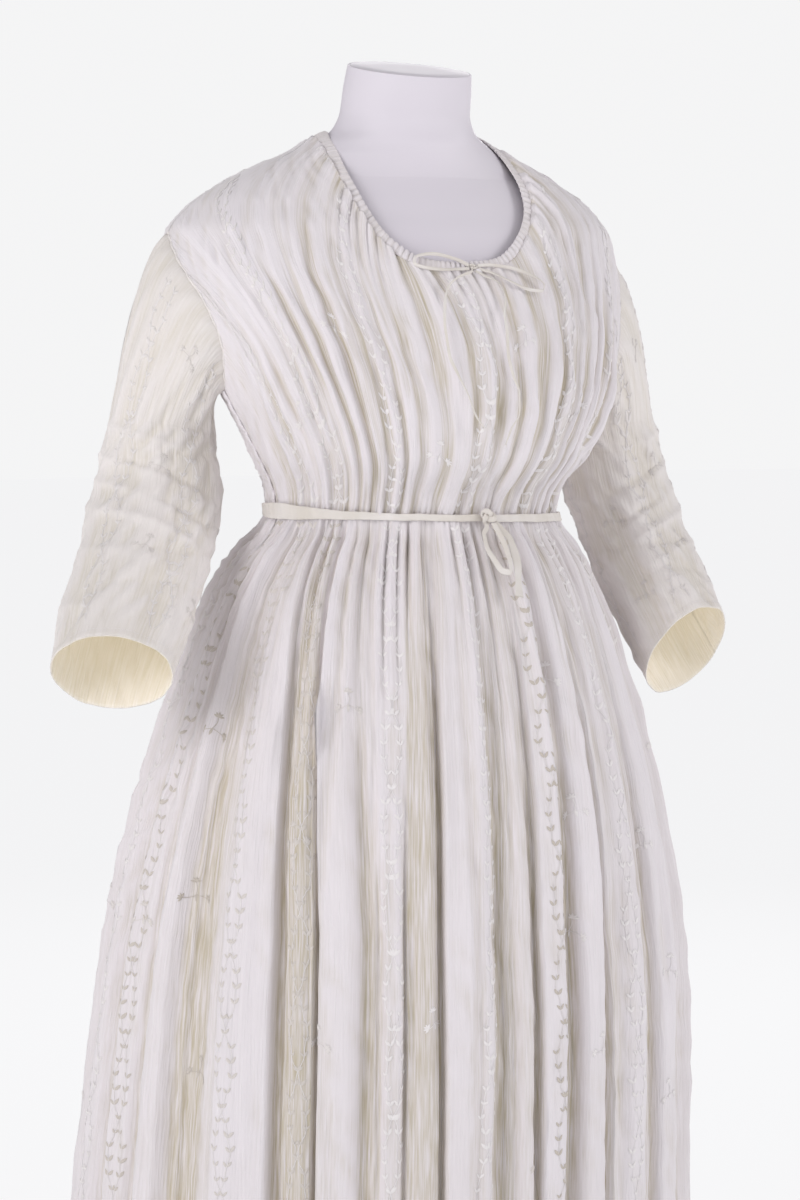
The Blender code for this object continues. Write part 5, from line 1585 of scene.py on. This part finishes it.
def form_material():
    """Smooth matt cover of the torso, faintly cool"""
    material, nodes, links, shader = new_material("form_skin", (0.70, 0.66, 0.72), 0.55)
    place = nodes.new("ShaderNodeTexCoord")
    cloud = noise(nodes, links, place.outputs["Object"], 7.0, 2.0)
    grain = noise(nodes, links, place.outputs["Object"], 900.0, 2.0)
    share = ramp(nodes, links, cloud, 0.3, 0.7)
    colour = colour_mix(nodes, links, share, (0.69, 0.65, 0.71), (0.715, 0.68, 0.73))
    links.new(colour, shader.inputs["Base Color"])
    rough = nodes.new("ShaderNodeMapRange")
    rough.inputs["To Min"].default_value = 0.5
    rough.inputs["To Max"].default_value = 0.62
    links.new(cloud, rough.inputs["Value"])
    links.new(rough.outputs["Result"], shader.inputs["Roughness"])
    links.new(bump(nodes, links, grain, 0.0001, 0.2), shader.inputs["Normal"])
    return material


def steel_material():
    """Satin steel of the stand"""
    material, nodes, links, shader = new_material("satin_steel", (0.62, 0.62, 0.64), 0.32, 1.0)
    place = nodes.new("ShaderNodeTexCoord")
    brush = noise(nodes, links, place.outputs["Object"], 1.0, 3.0, (500, 500, 30))
    rough = nodes.new("ShaderNodeMapRange")
    rough.inputs["To Min"].default_value = 0.26
    rough.inputs["To Max"].default_value = 0.42
    links.new(brush, rough.inputs["Value"])
    links.new(rough.outputs["Result"], shader.inputs["Roughness"])
    links.new(bump(nodes, links, brush, 0.0001, 0.15), shader.inputs["Normal"])
    return material


def dress(panel, material):
    panel["obj"].data.materials.append(material)


# The second colour of each muslin is its painted shade; the sleeve copy is the same cloth made yellower as
# painted shade, with a third colour of painted light inside
MATERIALS = {
    "muslin": muslin_material("crinkled_muslin", (0.77, 0.730, 0.760), (0.53, 0.470, 0.360)),
    "sleeve": muslin_material("sleeve_cloth_painted_shade_and_light", (0.77, 0.730, 0.715), (0.62, 0.565, 0.45),
                              (0.185, 0.170, 0.125)),
    "thread": thread_material(),
    "tape": tape_material(),
    "form": form_material(),
    "steel": steel_material(),
}


def set_camera():
    """The photograph's view: from the wearer's right of the front, a little above the waist"""
    yaw, distance, lens = radians(25), 3.6, 108
    aim = Vector((-0.012 * np.cos(yaw), 0.012 * np.sin(yaw), 0.866))
    place = aim + Vector((-np.sin(yaw), -np.cos(yaw), 0)) * distance
    place.z = 1.10
    camera = bpy.data.cameras.new("camera")
    camera.sensor_fit = "VERTICAL"
    camera.sensor_height = 36
    camera.lens = lens
    obj = bpy.data.objects.new("camera", camera)
    bpy.context.scene.collection.objects.link(obj)
    obj.location = place
    obj.rotation_euler = (aim - place).to_track_quat("-Z", "Y").to_euler()
    bpy.context.scene.camera = obj


def add_light(name, place, target, size, energy, colour):
    light = bpy.data.lights.new(name, "AREA")
    light.energy = energy
    light.size = size
    light.color = colour
    obj = bpy.data.objects.new(name, light)
    bpy.context.scene.collection.objects.link(obj)
    obj.location = place
    obj.rotation_euler = (Vector(target) - obj.location).to_track_quat("-Z", "Y").to_euler()


def set_stage():
    mesh = bpy.data.meshes.new("floor")
    reach = 30
    corners = [(-reach, -reach, 0), (reach, -reach, 0), (reach, reach, 0), (-reach, reach, 0)]
    mesh.from_pydata(corners, [], [(0, 1, 2, 3)])
    floor = bpy.data.objects.new("floor", mesh)
    bpy.context.scene.collection.objects.link(floor)
    material, nodes, links, shader = new_material("pale_floor", (0.08, 0.08, 0.08), 1.0)
    shader.inputs["Emission Color"].default_value = (0.905, 0.905, 0.915, 1)
    shader.inputs["Specular IOR Level"].default_value = 0.0
    shader.inputs["Emission Strength"].default_value = 0.955
    mesh.materials.append(material)
    floor.location.z = -0.0005
    world = bpy.data.worlds.new("world")
    world.use_nodes = True
    nodes, links = world.node_tree.nodes, world.node_tree.links
    background = nodes["Background"]
    background.inputs["Color"].default_value = (0.91, 0.91, 0.915, 1)
    path = nodes.new("ShaderNodeLightPath")
    level = nodes.new("ShaderNodeMapRange")
    level.inputs["To Min"].default_value = 0.45
    level.inputs["To Max"].default_value = 1.0
    links.new(path.outputs["Is Camera Ray"], level.inputs["Value"])
    links.new(level.outputs["Result"], background.inputs["Strength"])
    bpy.context.scene.world = world
    bpy.context.scene.view_settings.view_transform = "Standard"
    add_light("left_softbox", (-2.9, -1.3, 1.9), (0, 0, 0.85), 2.0, 52, (1.0, 0.985, 1.0))
    add_light("right_softbox", (2.4, -2.2, 1.9), (0, 0, 0.85), 1.6, 40, (1.0, 0.98, 1.0))
    add_light("back_softbox", (1.6, 2.9, 2.2), (0, 0, 0.9), 1.4, 40, (1.0, 0.985, 1.0))


def main():
    set_camera()
    set_stage()
    muslin, sleeve = MATERIALS["muslin"], MATERIALS["sleeve"]
    front = make_bodice("bodice_front", BODICE_FRONT, BODICE_FRONT_CREASES, True, 0.3)
    back = make_bodice("bodice_back", BODICE_BACK, BODICE_BACK_CREASES, False, 1.2)
    skirt_front = make_skirt("skirt_front", SKIRT_FRONT, SKIRT_FRONT_CREASES, True, 0.7)
    skirt_back = make_skirt("skirt_back", SKIRT_BACK, SKIRT_BACK_CREASES, False, 1.9)
    right = make_sleeve("sleeve_right", SLEEVE_RIGHT, -1)
    left = make_sleeve("sleeve_left", SLEEVE_LEFT, 1)
    casing = make_casing()
    for panel in (front, back, skirt_front, skirt_back):
        dress(panel, muslin)
    for panel in (right, left):
        dress(panel, sleeve)
    casing.data.materials.append(muslin)
    down = dense((0, 0.04, 0.14, 0.5, 1.0), (14, 18, 40, 44))
    skirt_front["down"] = skirt_back["down"] = down
    sewn = {
        "front": sew_bodice(front, BODICE_FRONT_VINES, BODICE_FRONT_SPRIGS, "bodice_front_embroidery"),
        "back": sew_bodice(back, BODICE_BACK_VINES, BODICE_BACK_SPRIGS, "bodice_back_embroidery"),
        "skirt_front": sew_skirt(skirt_front, SKIRT_FRONT_VINES, SKIRT_FRONT_SPRIGS,
                                 "skirt_front_embroidery"),
        "skirt_back": sew_skirt(skirt_back, SKIRT_BACK_VINES, SKIRT_BACK_SPRIGS, "skirt_back_embroidery"),
        "right": sew_sleeve(right, (60, 130, 215, 300), "sleeve_right_embroidery"),
        "left": sew_sleeve(left, (50, 125, 210, 300), "sleeve_left_embroidery"),
    }
    make_ties()
    sewn["seam_right"] = make_armhole_seam(-1, "armhole_seam_right")
    sewn["seam_left"] = make_armhole_seam(1, "armhole_seam_left")
    side_seams = [
        make_side_seam(front, 0, -1, "side_seam_right"),
        make_side_seam(front, -1, 1, "side_seam_left"),
    ]
    skirt_seams = [
        make_side_seam(skirt_front, 0, -1, "skirt_seam_right", 0.0068),
        make_side_seam(skirt_front, -1, 1, "skirt_seam_left", 0.0068),
    ]
    for key, sleeve in (("right", right), ("left", left)):
        away = np.linalg.norm(sleeve["grid"] - sleeve["grid"][-1:], axis=2).mean(1)
        at = int(np.argmin(np.abs(away - CUFF_HEM)))
        sewn["cuff_" + key] = stitch_line("sleeve_" + key + "_cuff_stitches", sleeve["grid"][at],
                                          sleeve["normal"][at], 0.0022, 0.0014, 0.0005, MATERIALS["thread"])
    for key, skirt in (("front", skirt_front), ("back", skirt_back)):
        away = np.linalg.norm(skirt["grid"] - skirt["grid"][-1:], axis=2).mean(1)
        at = int(np.argmin(np.abs(away - TURNED_HEM)))
        sewn["hem_" + key] = stitch_line("skirt_" + key + "_hem_stitches", skirt["grid"][at],
                                         skirt["normal"][at], 0.0022, 0.0016, 0.0005, MATERIALS["thread"])
    tape = make_waist_tape()
    make_form()
    for node in ("stand_base", "stand_pole"):
        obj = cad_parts[node]
        for index in range(len(obj.material_slots)):
            obj.material_slots[index].material = MATERIALS["steel"]


main()
